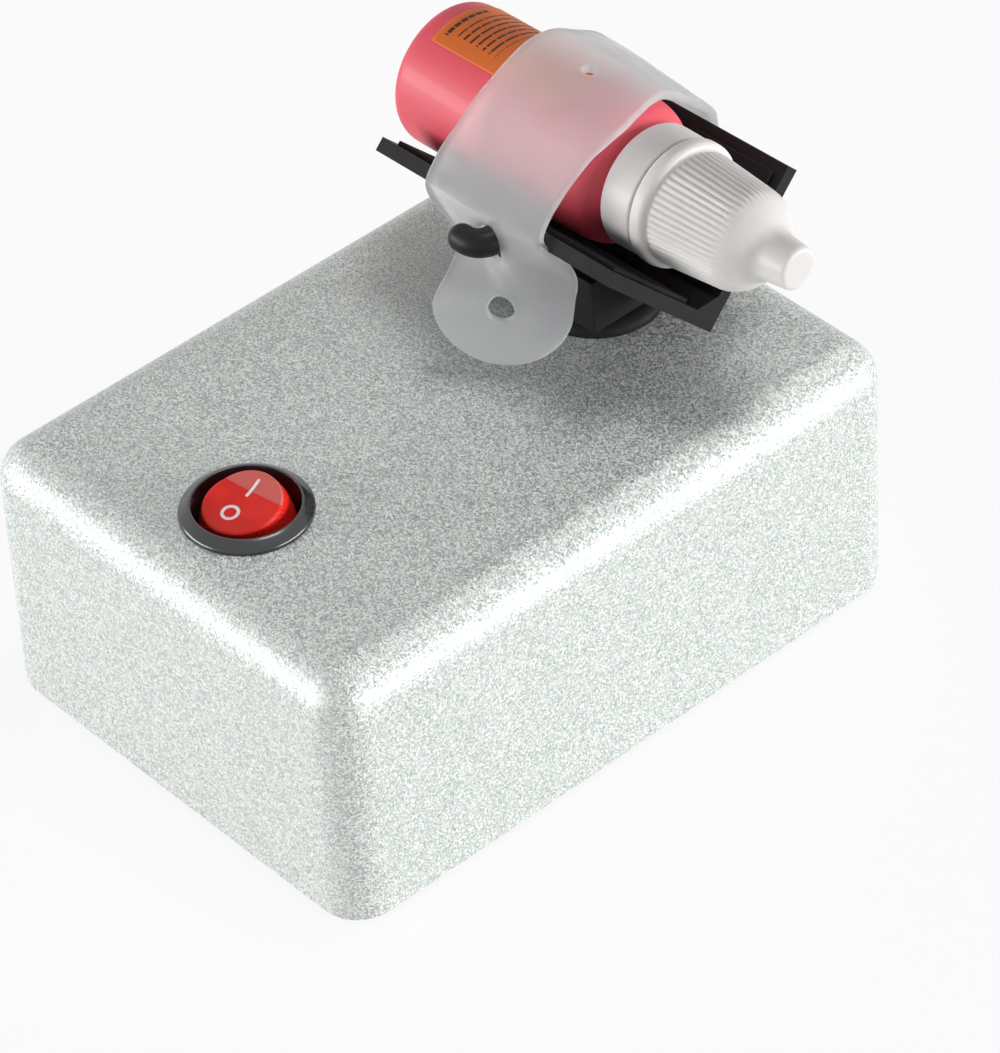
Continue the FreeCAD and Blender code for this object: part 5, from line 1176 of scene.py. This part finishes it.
@dataclass
class Strap:
    """Silicone strap: a flat cut sheet with five holes, laid over the bottle and hung on two hooks.

    A point of the flat sheet is (w, q): w across from the middle line, q along it from the crown, positive
    towards the near side. place() carries it into the holder's frame. A path is a row of (y, s) corners
    after the arc, a hole is (w, q or height s, radius).
    """

    thickness: float = 1.7
    radius: float = 15.35
    arc_end: float = math.radians(48.5)
    arc_steps: int = 60
    near_path: tuple[Pair, ...] = ((-20.93, 43.84), (-22.98, 41.79), (-22.98, 36.5), (-24.3, 32.2),
                                   (-25.9, 28.4), (-26.3, 14.0))
    far_path: tuple[Pair, ...] = ((-21.3, 44.7), (-23.5, 42.3), (-23.3, 37.5), (-22.98, 33.0), (-22.98, 14.0))
    path_step: float = 0.2
    path_reach: int = 12
    path_width: float = 5.0
    table_start: float = -60.0
    table_steps: int = 900
    table_reach: int = 13
    left_edge: Table = Table(
        ((-22.0, -15.0), (-12.0, -14.8), (0.0, -13.6), (4.8, -13.0), (9.4, -13.1), (13.0, -14.1),
         (19.0, -15.3)),
        ((46.2, -16.4), (43.0, -16.3), (41.7, -16.2), (40.0, -15.0), (38.3, -12.6), (36.1, -9.4),
         (33.4, -8.0), (30.9, -9.4), (28.4, -11.4), (20.0, -11.4)))
    right_edge: Table = Table(
        ((-28.0, 7.0), (-22.0, 8.0), (-12.0, 10.4), (-6.0, 12.6), (0.0, 14.4), (4.8, 15.2), (9.4, 14.8),
         (13.0, 13.6), (19.0, 12.0)),
        ((46.2, 11.3), (43.9, 11.4), (42.4, 12.3), (41.2, 13.6), (39.5, 14.6), (37.0, 15.0), (32.4, 14.2),
         (28.4, 13.0), (20.0, 13.0)))
    middle: Table = Table(
        ((-22.0, 1.2), (0.0, 1.2)),
        ((40.0, 1.2), (36.1, 1.7), (33.4, 3.0), (30.9, 4.4), (28.0, 5.2), (15.0, 5.2)))
    right_turn: Table = Table(
        ((0.0, 0.0),), ((42.0, 0.0), (39.5, 9.0), (37.0, 17.0), (33.0, 31.0), (29.0, 40.0), (15.0, 40.0)))
    left_turn: Table = Table(((0.0, 0.0),), ((35.0, 0.0), (32.0, 20.0), (29.0, 40.0), (15.0, 40.0)))
    near_end: float = 28.2
    near_round: float = 13.0
    far_end: float = 28.4
    far_round: float = 13.5
    softness: float = 3.0
    hook_height: float = 37.5
    drape: float = 2.1
    drape_edge: Pair = (-1.0, 4.6)
    drape_widens: float = 2.0
    drape_from: Pair = (1.0, 4.0)
    drape_middle: Pair = (3.4, 1.2)
    drape_size: Pair = (8.0, 5.6)
    cone: float = 0.045
    cone_back: float = 12.0
    cone_near: Pair = (2.0, 14.0)
    cone_far: Pair = (30.0, 36.0)
    bow: Pair = (0.9, 0.06)
    bow_in: Pair = (10.0, 18.0)
    bow_out: Pair = (27.0, 33.0)
    near_holes: tuple[Triple, ...] = ((0.5, 26.9, 2.3), (0.7, 38.0, 3.0))
    crown_hole: Triple = (0.3, -1.4, 1.24)
    far_holes: tuple[Triple, ...] = ((-4.4, 31.0, 3.5), (-3.4, 20.5, 2.75))
    hole_border: float = 1.5
    ring_shares: Triple = (0.55, 0.22, 0.0)
    cell: float = 1.1
    columns: int = 26
    end_rows: int = 13
    spacing: Pair = (0.45, 0.55)

    def __post_init__(self) -> None:
        """Work out the middle line of each side."""
        self.near = self.middle_line(self.near_path)
        self.far = self.middle_line(self.far_path)

    def middle_line(self, corners: tuple[Pair, ...]) -> Points:
        """Line from the crown to an end: an arc round the bottle, then corners, eased by a moving average.

        Args:
            corners: (y, s) places after the arc, for the near side.

        Returns:
            Array of (q, y, s).
        """
        angle = np.linspace(0.0, self.arc_end, self.arc_steps)
        arc = np.stack([-self.radius * np.sin(angle), ARC_HEIGHT + self.radius * np.cos(angle)], -1)
        line = resampled(np.concatenate([arc, np.array(corners)]), self.path_step)
        mirrored = np.concatenate([(line * [-1.0, 1.0])[:0:-1], line])
        reach = self.path_reach
        window = np.exp(-0.5 * (np.arange(-reach, reach + 1) / self.path_width) ** 2)
        window /= window.sum()
        padded = np.pad(mirrored, ((reach, reach), (0, 0)), mode="edge")
        both = np.stack([np.convolve(padded[:, axis], window, "valid") for axis in (0, 1)], -1)
        half = both[len(line) - 1:]
        length = np.concatenate([[0.0], np.cumsum(np.linalg.norm(np.diff(half, axis=0), axis=1))])
        return np.column_stack([length, half])

    def below(self, height: float, line: Points) -> float:
        """Distance q from the crown at which a line passes a height s."""
        return float(np.interp(-height, -line[:, 2], line[:, 0]))

    def along(self, q: Points, table: Table) -> Points:
        """Values of a table at q, eased by a moving average.

        Args:
            q: distances from the crown.
            table: values on the arc and down the side.

        Returns:
            One value for each q.
        """
        down = [(self.below(s, self.near), value) for s, value in table.side]
        at, values = np.array([(self.table_start, table.arc[0][1]), *table.arc, *down]).T
        fine = np.linspace(at[0], at[-1], self.table_steps)
        curve = np.pad(np.interp(fine, at, values), self.table_reach, mode="edge")
        window = np.hanning(2 * self.table_reach + 1)
        return np.interp(q, fine, np.convolve(curve, window / window.sum(), "valid"))

    def swell(self, w: Points, q: Points) -> Points:
        """How far the sheet stands out from its path: a cone over the crown, and a bow on the far side.

        The cone is a slope times the distance from the back edge. The bow is a plane that eases in and out.

        Args:
            w: distances from the middle line.
            q: distances from the crown.

        Returns:
            Millimetres outwards.
        """
        cone = -self.cone * np.clip(w + self.cone_back, 0.0, None)
        cone = cone * (1.0 - eased(q, *self.cone_near)) * (1.0 - eased(-q, *self.cone_far))
        bow = (self.bow[0] - self.bow[1] * w) * eased(-q, *self.bow_in) * (1.0 - eased(-q, *self.bow_out))
        return cone + bow

    def place(self, flat: Points) -> Points:
        """Flat sheet (w, q) to the holder's frame (x, y, s).

        The two halves turn about the middle line by their own angles: with p = (w + sqrt(w^2 + d^2)) / 2 and
        m = w - p, x = middle + p cos(right) + m cos(left) and y = line + p sin(right) + m sin(left). Round
        the near hook the sheet also stands out by a bell, drape exp(-dq^2 - dw^2), because it is stretched
        over the stalk.

        Args:
            flat: array whose last axis is (w, q).

        Returns:
            Array of (x, y, s).
        """
        w, q = flat[..., 0], flat[..., 1]
        near_y, near_s = (np.interp(q, self.near[:, 0], self.near[:, axis]) for axis in (1, 2))
        far_y, far_s = (np.interp(-q, self.far[:, 0], self.far[:, axis]) for axis in (1, 2))
        y, s = np.where(q >= 0, near_y, -far_y), np.where(q >= 0, near_s, far_s)
        hook = self.below(self.hook_height, self.near)
        low, high = self.drape_from
        start = self.drape_edge[0] - self.drape_widens * eased(q, hook + low, hook + high)
        drape = self.drape * eased(w, start, self.drape_edge[1])
        (w_middle, q_middle), (w_size, q_size) = self.drape_middle, self.drape_size
        y = y - drape * np.exp(-((q - hook - q_middle) / q_size) ** 2 - ((w - w_middle) / w_size) ** 2)
        out = self.swell(w, q) / np.hypot(y, s - ARC_HEIGHT)
        y, s = y + y * out, s + (s - ARC_HEIGHT) * out
        right, left = np.radians(self.along(q, self.right_turn)), np.radians(self.along(q, self.left_turn))
        soft = np.sqrt(w * w + self.softness ** 2)
        plus, minus = (w + soft) / 2, (w - soft) / 2
        x = self.along(q, self.middle) + plus * np.cos(right) + minus * np.cos(left)
        y = y + plus * np.sin(right) + minus * np.sin(left)
        return np.stack([x, y, s], -1)

    def sheet(self) -> Points:
        """Grid of flat points: straight rows, and rows that bend into the two round ends.

        Returns:
            Array of (rows, columns, 2).
        """
        near_q, far_q = self.below(self.near_end, self.near), -self.below(self.far_end, self.far)
        rows = np.linspace(far_q, near_q, int((near_q - far_q) / self.cell) + 1)
        even = np.linspace(-1.0, 1.0, self.columns + 1)
        share = self.spacing[0] * even + self.spacing[1] * np.sin(even * math.pi / 2)
        left, right = self.along(rows, self.left_edge), self.along(rows, self.right_edge)
        middle, half = (left + right) / 2, (right - left) / 2
        across = middle[:, None] + half[:, None] * share
        grid = np.stack([across, np.repeat(rows[:, None], len(share), 1)], -1)
        steps = np.linspace(0.0, 1.0, self.end_rows)[1:, None]
        arch = np.sqrt(np.clip(1.0 - share ** 2, 0.0, None))[None, :]
        ends = []
        for row, reach, sign in ((grid[0], self.far_round, -1.0), (grid[-1], self.near_round, 1.0)):
            ends.append(np.stack([np.repeat(row[None, :, 0], len(steps), 0),
                                  row[None, :, 1] + sign * reach * steps * arch], -1))
        return np.concatenate([ends[0][::-1], grid, ends[1]])

    def holes(self) -> list[Triple]:
        """Centre (w, q) and radius of each hole, from the near end to the far one.

        Returns:
            List of (w, q, radius).
        """
        near = [(w, self.below(s, self.near), radius) for w, s, radius in self.near_holes]
        far = [(w, -self.below(s, self.far), radius) for w, s, radius in self.far_holes]
        return [*near, self.crown_hole, *far]

    def pierced(self) -> tuple[Points, Points]:
        """Cut the holes: a block of cells round each gives way to rings between its border and a circle.

        A ring's point is circle + share (border - circle), at the border point's own angle.

        Returns:
            Flat points and faces.
        """
        grid = self.sheet()
        rows, columns = grid.shape[:2]
        faces, points = [], [grid.reshape(-1, 2)]
        taken = np.zeros((rows - 1, columns - 1), bool)
        count = rows * columns
        for w, q, radius in self.holes():
            reach = radius + self.hole_border
            row = int(np.argmin(np.abs(grid[:, columns // 2, 1] - q)))
            column = int(np.argmin(np.abs(grid[row, :, 0] - w)))
            i_near = np.flatnonzero(np.abs(grid[:, column, 1] - q) < reach)
            j_near = np.flatnonzero(np.abs(grid[row, :, 0] - w) < reach)
            i0, i1, j0, j1 = i_near[0] - 1, i_near[-1] + 1, j_near[0] - 1, j_near[-1] + 1
            taken[i0:i1, j0:j1] = True
            border = np.concatenate([
                i0 * columns + np.arange(j0, j1), np.arange(i0, i1) * columns + j1,
                i1 * columns + np.arange(j1, j0, -1), np.arange(i1, i0, -1) * columns + j0])
            edge = points[0][border]
            angle = np.arctan2(edge[:, 1] - q, edge[:, 0] - w)
            circle = np.stack([w + radius * np.cos(angle), q + radius * np.sin(angle)], -1)
            loops = [border]
            for share in self.ring_shares:
                points.append(circle + share * (edge - circle))
                loops.append(np.arange(count, count + len(border)))
                count += len(border)
            for outer, inner in zip(loops, loops[1:]):
                faces.append(np.stack([outer, np.roll(outer, -1), np.roll(inner, -1), inner], -1))
        faces.append(quads(rows, columns).reshape(rows - 1, columns - 1, 4)[~taken])
        return np.concatenate(points), np.concatenate([face.reshape(-1, 4) for face in faces])

    def build(self, finishes: Finishes) -> None:
        """Lay the pierced sheet, give it its thickness and smooth it.

        Args:
            finishes: every finish of the machine.
        """
        flat, faces = self.pierced()
        used = np.unique(faces)
        renumber = np.zeros(len(flat), int)
        renumber[used] = np.arange(len(used))
        item = Piece("silicone_strap", "holder", "clear_silicone", ("strap",)).skin(
            leaning(self.place(flat[used])), renumber[faces], finishes.of("clear_silicone"), 60.0)
        thicken(item, self.thickness, 0.0)
        subdivide(item, 1)


# ---------------------------------------------------------------- bottle

@dataclass
class Bottle:
    """Bottle, label, tamper ring and ribbed cap with its spout, all about one axis."""

    radius: float = 13.3
    shoulder: float = 50.2
    slant: float = 3.6
    neck: float = 8.0
    neck_length: float = 15.5
    wall: float = 1.2
    label_start: float = 4.7
    label_length: float = 31.3
    label_edge: float = math.radians(60)
    label_span: float = math.radians(200)
    label_radius: float = 13.5
    label_thickness: float = 0.16
    label_cells: tuple[int, int] = (40, 120)
    ring: float = 11.3
    ring_end: float = 57.4
    cap_start: float = 57.7
    bead: float = 11.5
    bead_length: float = 3.1
    grip: float = 10.2
    dome: float = 8.9
    dome_start: float = 18.4
    dome_top: float = 6.7
    spout: float = 4.5
    tip: float = 3.85
    tip_end: float = 29.1
    cap_step: float = 0.55
    bore_end: float = 15.9
    bore_tip: float = 19.7
    ribs: int = 54
    rib_height: float = 0.36
    rib_start: float = 3.3
    rib_fade: Pair = (13.0, 16.0)
    rib_power: float = 0.7
    rib_level: float = 0.35
    turns: int = 144

    def build(self, finishes: Finishes) -> None:
        """Build the bottle's pieces.

        Args:
            finishes: every finish of the machine.
        """
        cap = resampled(self.cap_profile(), self.cap_step)
        for name, slot, node, profile, turns, ribs in (
                ("bottle_shell", "coral_plastic", "bottle_body", self.body_profile(), self.turns, None),
                ("tamper_ring", "white_plastic", "bottle_collar", self.ring_profile(), self.turns, None),
                ("ribbed_cap", "white_plastic", "bottle_cap", cap, self.ribs * 8, self.rib)):
            Piece(name, "bottle", slot, (node,)).turned(
                profile, turns, on_bottle, finishes.of(slot), 42.0, ribs)
        self.label(finishes)

    def body_profile(self) -> Points:
        """Outside from the base's middle over the shoulder to the neck, then back inside.

        Returns:
            Array of (along, radius) points.
        """
        radius, shoulder, neck, wall = self.radius, self.shoulder, self.neck, self.wall
        end = shoulder + self.neck_length
        return rounded([(0.0, 0.0), (0.0, radius, 2.8), (shoulder - self.slant, radius, 4.2),
                        (shoulder, radius - self.slant, 2.2), (shoulder, neck, 0.5), (end, neck, 0.3),
                        (end, neck - wall), (shoulder - wall, neck - wall),
                        (shoulder - wall - 5.0, radius - wall), (wall, radius - wall, 1.5), (wall, 0.0)], 10)

    def ring_profile(self) -> Points:
        """Plain ring with rounded rims.

        Returns:
            Array of (along, radius) points.
        """
        start, end, ring, bore = self.shoulder + 0.3, self.ring_end, self.ring, self.neck + 0.06
        return rounded([(start, bore), (start, ring - 0.4, 0.5), (start + 0.6, ring, 0.5),
                        (end, ring - 0.1, 0.6), (end, bore)])

    def cap_profile(self) -> Points:
        """Bead, tapered grip, dome and spout outside; bore and cone inside.

        Returns:
            Array of (along, radius) points.
        """
        start, bore = self.cap_start, self.neck + 0.2
        grip, dome, tip = start + self.bead_length, start + self.dome_start, start + self.tip_end
        line = rounded([
            (start, bore), (start, self.bead, 0.9), (grip - 0.5, self.bead, 0.9),
            (grip + 0.1, self.grip, 0.5), (dome, self.dome, 2.2), (dome + 2.6, self.dome_top, 2.2),
            (dome + 4.5, self.spout, 1.6), (tip, self.tip, 0.9), (tip, 0.0),
            (self.shoulder + self.bore_tip, 0.0), (self.shoulder + self.bore_end, bore)], 9)
        return np.concatenate([line, line[:1]])

    def rib(self, along: Points, radius: Points, angle: Points) -> Points:
        """Ribs on the grip: height times (half plus half cosine of count times angle)^0.7, less a level.

        They ease in and out along the grip.

        Args:
            along: distance from the base.
            radius: the plain radius.
            angle: angle round the axis.

        Returns:
            What is added to the radius.
        """
        start = self.cap_start + self.rib_start
        low, high = self.rib_fade
        window = eased(along, start, start + 0.6) * (1.0 - eased(along, start + low, start + high))
        outside = (radius > self.neck + 0.5) * window
        wave = (0.5 + 0.5 * np.cos(self.ribs * angle)) ** self.rib_power
        return outside * self.rib_height * (wave - self.rib_level)

    def label(self, finishes: Finishes) -> None:
        """Label: a part cylinder (along, r cos angle, r sin angle) that stores millimetres for its print.

        Args:
            finishes: every finish of the machine.
        """
        rows, columns = self.label_cells
        along, angle = np.meshgrid(np.linspace(0.0, self.label_length, rows),
                                   np.linspace(0.0, self.label_span, columns), indexing="ij")
        turn, radius = math.pi - self.label_edge - angle, self.label_radius
        points = np.stack([along + self.label_start, radius * np.cos(turn), radius * np.sin(turn)], -1)
        item = Piece("label_sheet", "bottle", "orange_label", ("bottle_label",)).skin(
            on_bottle(points), quads(rows, columns), finishes.of("orange_label"), closed=False)
        wrap = np.stack([along, angle * radius, np.zeros_like(along)], -1)
        item.data.attributes.new("wrap", "FLOAT_VECTOR", "POINT").data.foreach_set("vector", wrap.ravel())
        turn_up(item)
        thicken(item, self.label_thickness, -1.0)


# ---------------------------------------------------------------- studio

class Seen(Enum):
    """Rays that see the white surroundings as they are."""

    CAMERA = "Is Camera Ray"
    GLOSSY = "Is Glossy Ray"
    TRANSMISSION = "Is Transmission Ray"


@dataclass(frozen=True)
class Lamp:
    """A soft oblong lamp that looks at the machine.

    direction points from the machine to the lamp. distance, size (width, height) and aim, the height it
    looks at, are in metres, and power is in watts.
    """

    name: str
    direction: Triple
    distance: float
    size: Pair
    power: float
    aim: float = 0.04

    def add(self) -> None:
        """Put the lamp into the scene."""
        light = bpy.data.lights.new(self.name, "AREA")
        light.shape = "RECTANGLE"
        light.size, light.size_y = self.size
        light.energy = self.power
        item = linked(self.name, light)
        way = Vector(self.direction).normalized()
        item.location = Vector((0.0, 0.0, self.aim)) + way * self.distance
        item.rotation_euler = way.to_track_quat("Z", "Y").to_euler()


@dataclass
class Studio:
    """Floor, surroundings, lamps and camera."""

    ambient: float = 0.12
    floor_glow: float = 0.9
    floor_reach: float = 20.0
    floor_colour: Colour = (0.88, 0.88, 0.88)
    lamps: tuple[Lamp, ...] = (
        Lamp("near_lamp", (-0.50, -0.80, 0.10), 1.6, (1.5, 0.5), 30.0),
        Lamp("off_lamp", (0.86, 0.46, 0.11), 1.6, (1.5, 0.5), 32.0),
        Lamp("high_lamp", (0.10, 0.22, 0.95), 1.3, (0.42, 0.42), 5.0))
    place: Triple = (0.5760, -0.4740, 0.6691)
    right: Triple = (0.6729, 0.7383, -0.0465)
    up: Triple = (-0.4612, 0.4678, 0.7540)
    back: Triple = (0.5784, -0.4859, 0.6553)
    focal: float = 5704.84
    middle: Pair = (491.57, 527.09)
    picture: tuple[int, int] = (1000, 1053)
    sensor: float = 36.0
    clip: Pair = (0.05, 50.0)

    def build(self) -> None:
        """Set up everything round the machine."""
        self.world()
        self.floor()
        for lamp in self.lamps:
            lamp.add()
        self.camera()
        bpy.context.scene.view_settings.view_transform = "Standard"

    def seen(self, tree: bpy.types.NodeTree) -> Socket:
        """1 for the rays that see the surroundings as they are, else 0.

        Args:
            tree: the node tree that asks.

        Returns:
            The answer's output.
        """
        rays = tree.nodes.new("ShaderNodeLightPath")
        total = rays.outputs[Seen.CAMERA.value]
        for kind in (Seen.GLOSSY, Seen.TRANSMISSION):
            larger = tree.nodes.new("ShaderNodeMath")
            larger.operation = "MAXIMUM"
            tree.links.new(total, larger.inputs[0])
            tree.links.new(rays.outputs[kind.value], larger.inputs[1])
            total = larger.outputs[0]
        return total

    def world(self) -> None:
        """White surroundings to the eye, weaker as a light."""
        world = bpy.data.worlds.new("studio")
        bpy.context.scene.world = world
        world.use_nodes = True
        tree = world.node_tree
        ground = tree.nodes["Background"]
        ground.inputs["Color"].default_value = (1.0, 1.0, 1.0, 1.0)
        level = tree.nodes.new("ShaderNodeMapRange")
        level.inputs[3].default_value = self.ambient
        level.inputs[4].default_value = 1.0
        tree.links.new(self.seen(tree), level.inputs[0])
        tree.links.new(level.outputs[0], ground.inputs["Strength"])

    def floor(self) -> None:
        """Pale floor that keeps a faint shadow."""
        mesh, reach = bpy.data.meshes.new("floor"), self.floor_reach
        corners = [(x * reach, y * reach, 0.0) for x, y in ((-1, -1), (1, -1), (1, 1), (-1, 1))]
        mesh.from_pydata(corners, [], [(0, 1, 2, 3)])
        item = linked("floor", mesh)
        wiring = Wiring("floor_white", Base_Color=self.floor_colour, Roughness=0.9, Specular_IOR_Level=0.1)
        glow = wiring.add("Emission", {"Color": (1.0, 1.0, 1.0), "Strength": 1.0})
        share = wiring.math("MULTIPLY", self.seen(wiring.tree), self.floor_glow)
        joined = wiring.add("MixShader", {0: share, 1: wiring.shader.outputs[0], 2: glow.outputs[0]})
        output = next(node for node in wiring.tree.nodes if node.type == "OUTPUT_MATERIAL")
        wiring.feed(output.inputs[0], joined.outputs[0])
        mesh.materials.append(wiring.material)

    def camera(self) -> None:
        """Camera whose picture plane and middle give the machine's view."""
        data = bpy.data.cameras.new("camera")
        item = linked("camera", data)
        width, height = self.picture
        data.sensor_fit = "VERTICAL"
        data.sensor_height = self.sensor
        data.lens = self.focal * data.sensor_height / height
        data.shift_x = (width / 2 - self.middle[0]) / height
        data.shift_y = (self.middle[1] - height / 2) / height
        data.clip_start, data.clip_end = self.clip
        columns = Matrix((self.right, self.up, self.back)).transposed()
        item.matrix_world = Matrix.Translation(self.place) @ columns.to_4x4()
        bpy.context.scene.camera = item


def dress_solids(finishes: Finishes) -> None:
    """Give every solid that still shows the finish of its material slot.

    Args:
        finishes: every finish of the machine.
    """
    slots = {part["node"]: part["material_slot"] for part in frame["record"]["subparts"]}
    for name, item in frame["nodes"].items():
        if item.hide_render:
            continue
        material = finishes.of(slots[name])
        if not item.material_slots:
            item.data.materials.append(material)
        for slot in item.material_slots:
            slot.material = material
        LOG.info("%s: finished as %s", name, material.name)


def main() -> None:
    """Build the studio and every sub-assembly, then finish the solids that still show."""
    logging.basicConfig(level=logging.INFO, format="%(name)s: %(message)s")
    Studio().build()
    finishes = Finishes()
    for assembly in (Case(), Boot(), RoundSwitch(), Holder(), Hook("hook_near", "near_hook", 37.5, 1.4),
                     Hook("hook_far", "far_hook", 31.0, 0.0, 1.0), Strap(), Bottle()):
        assembly.build(finishes)
        LOG.info("built %s", type(assembly).__name__)
    dress_solids(finishes)


if __name__ == "__main__":
    main()
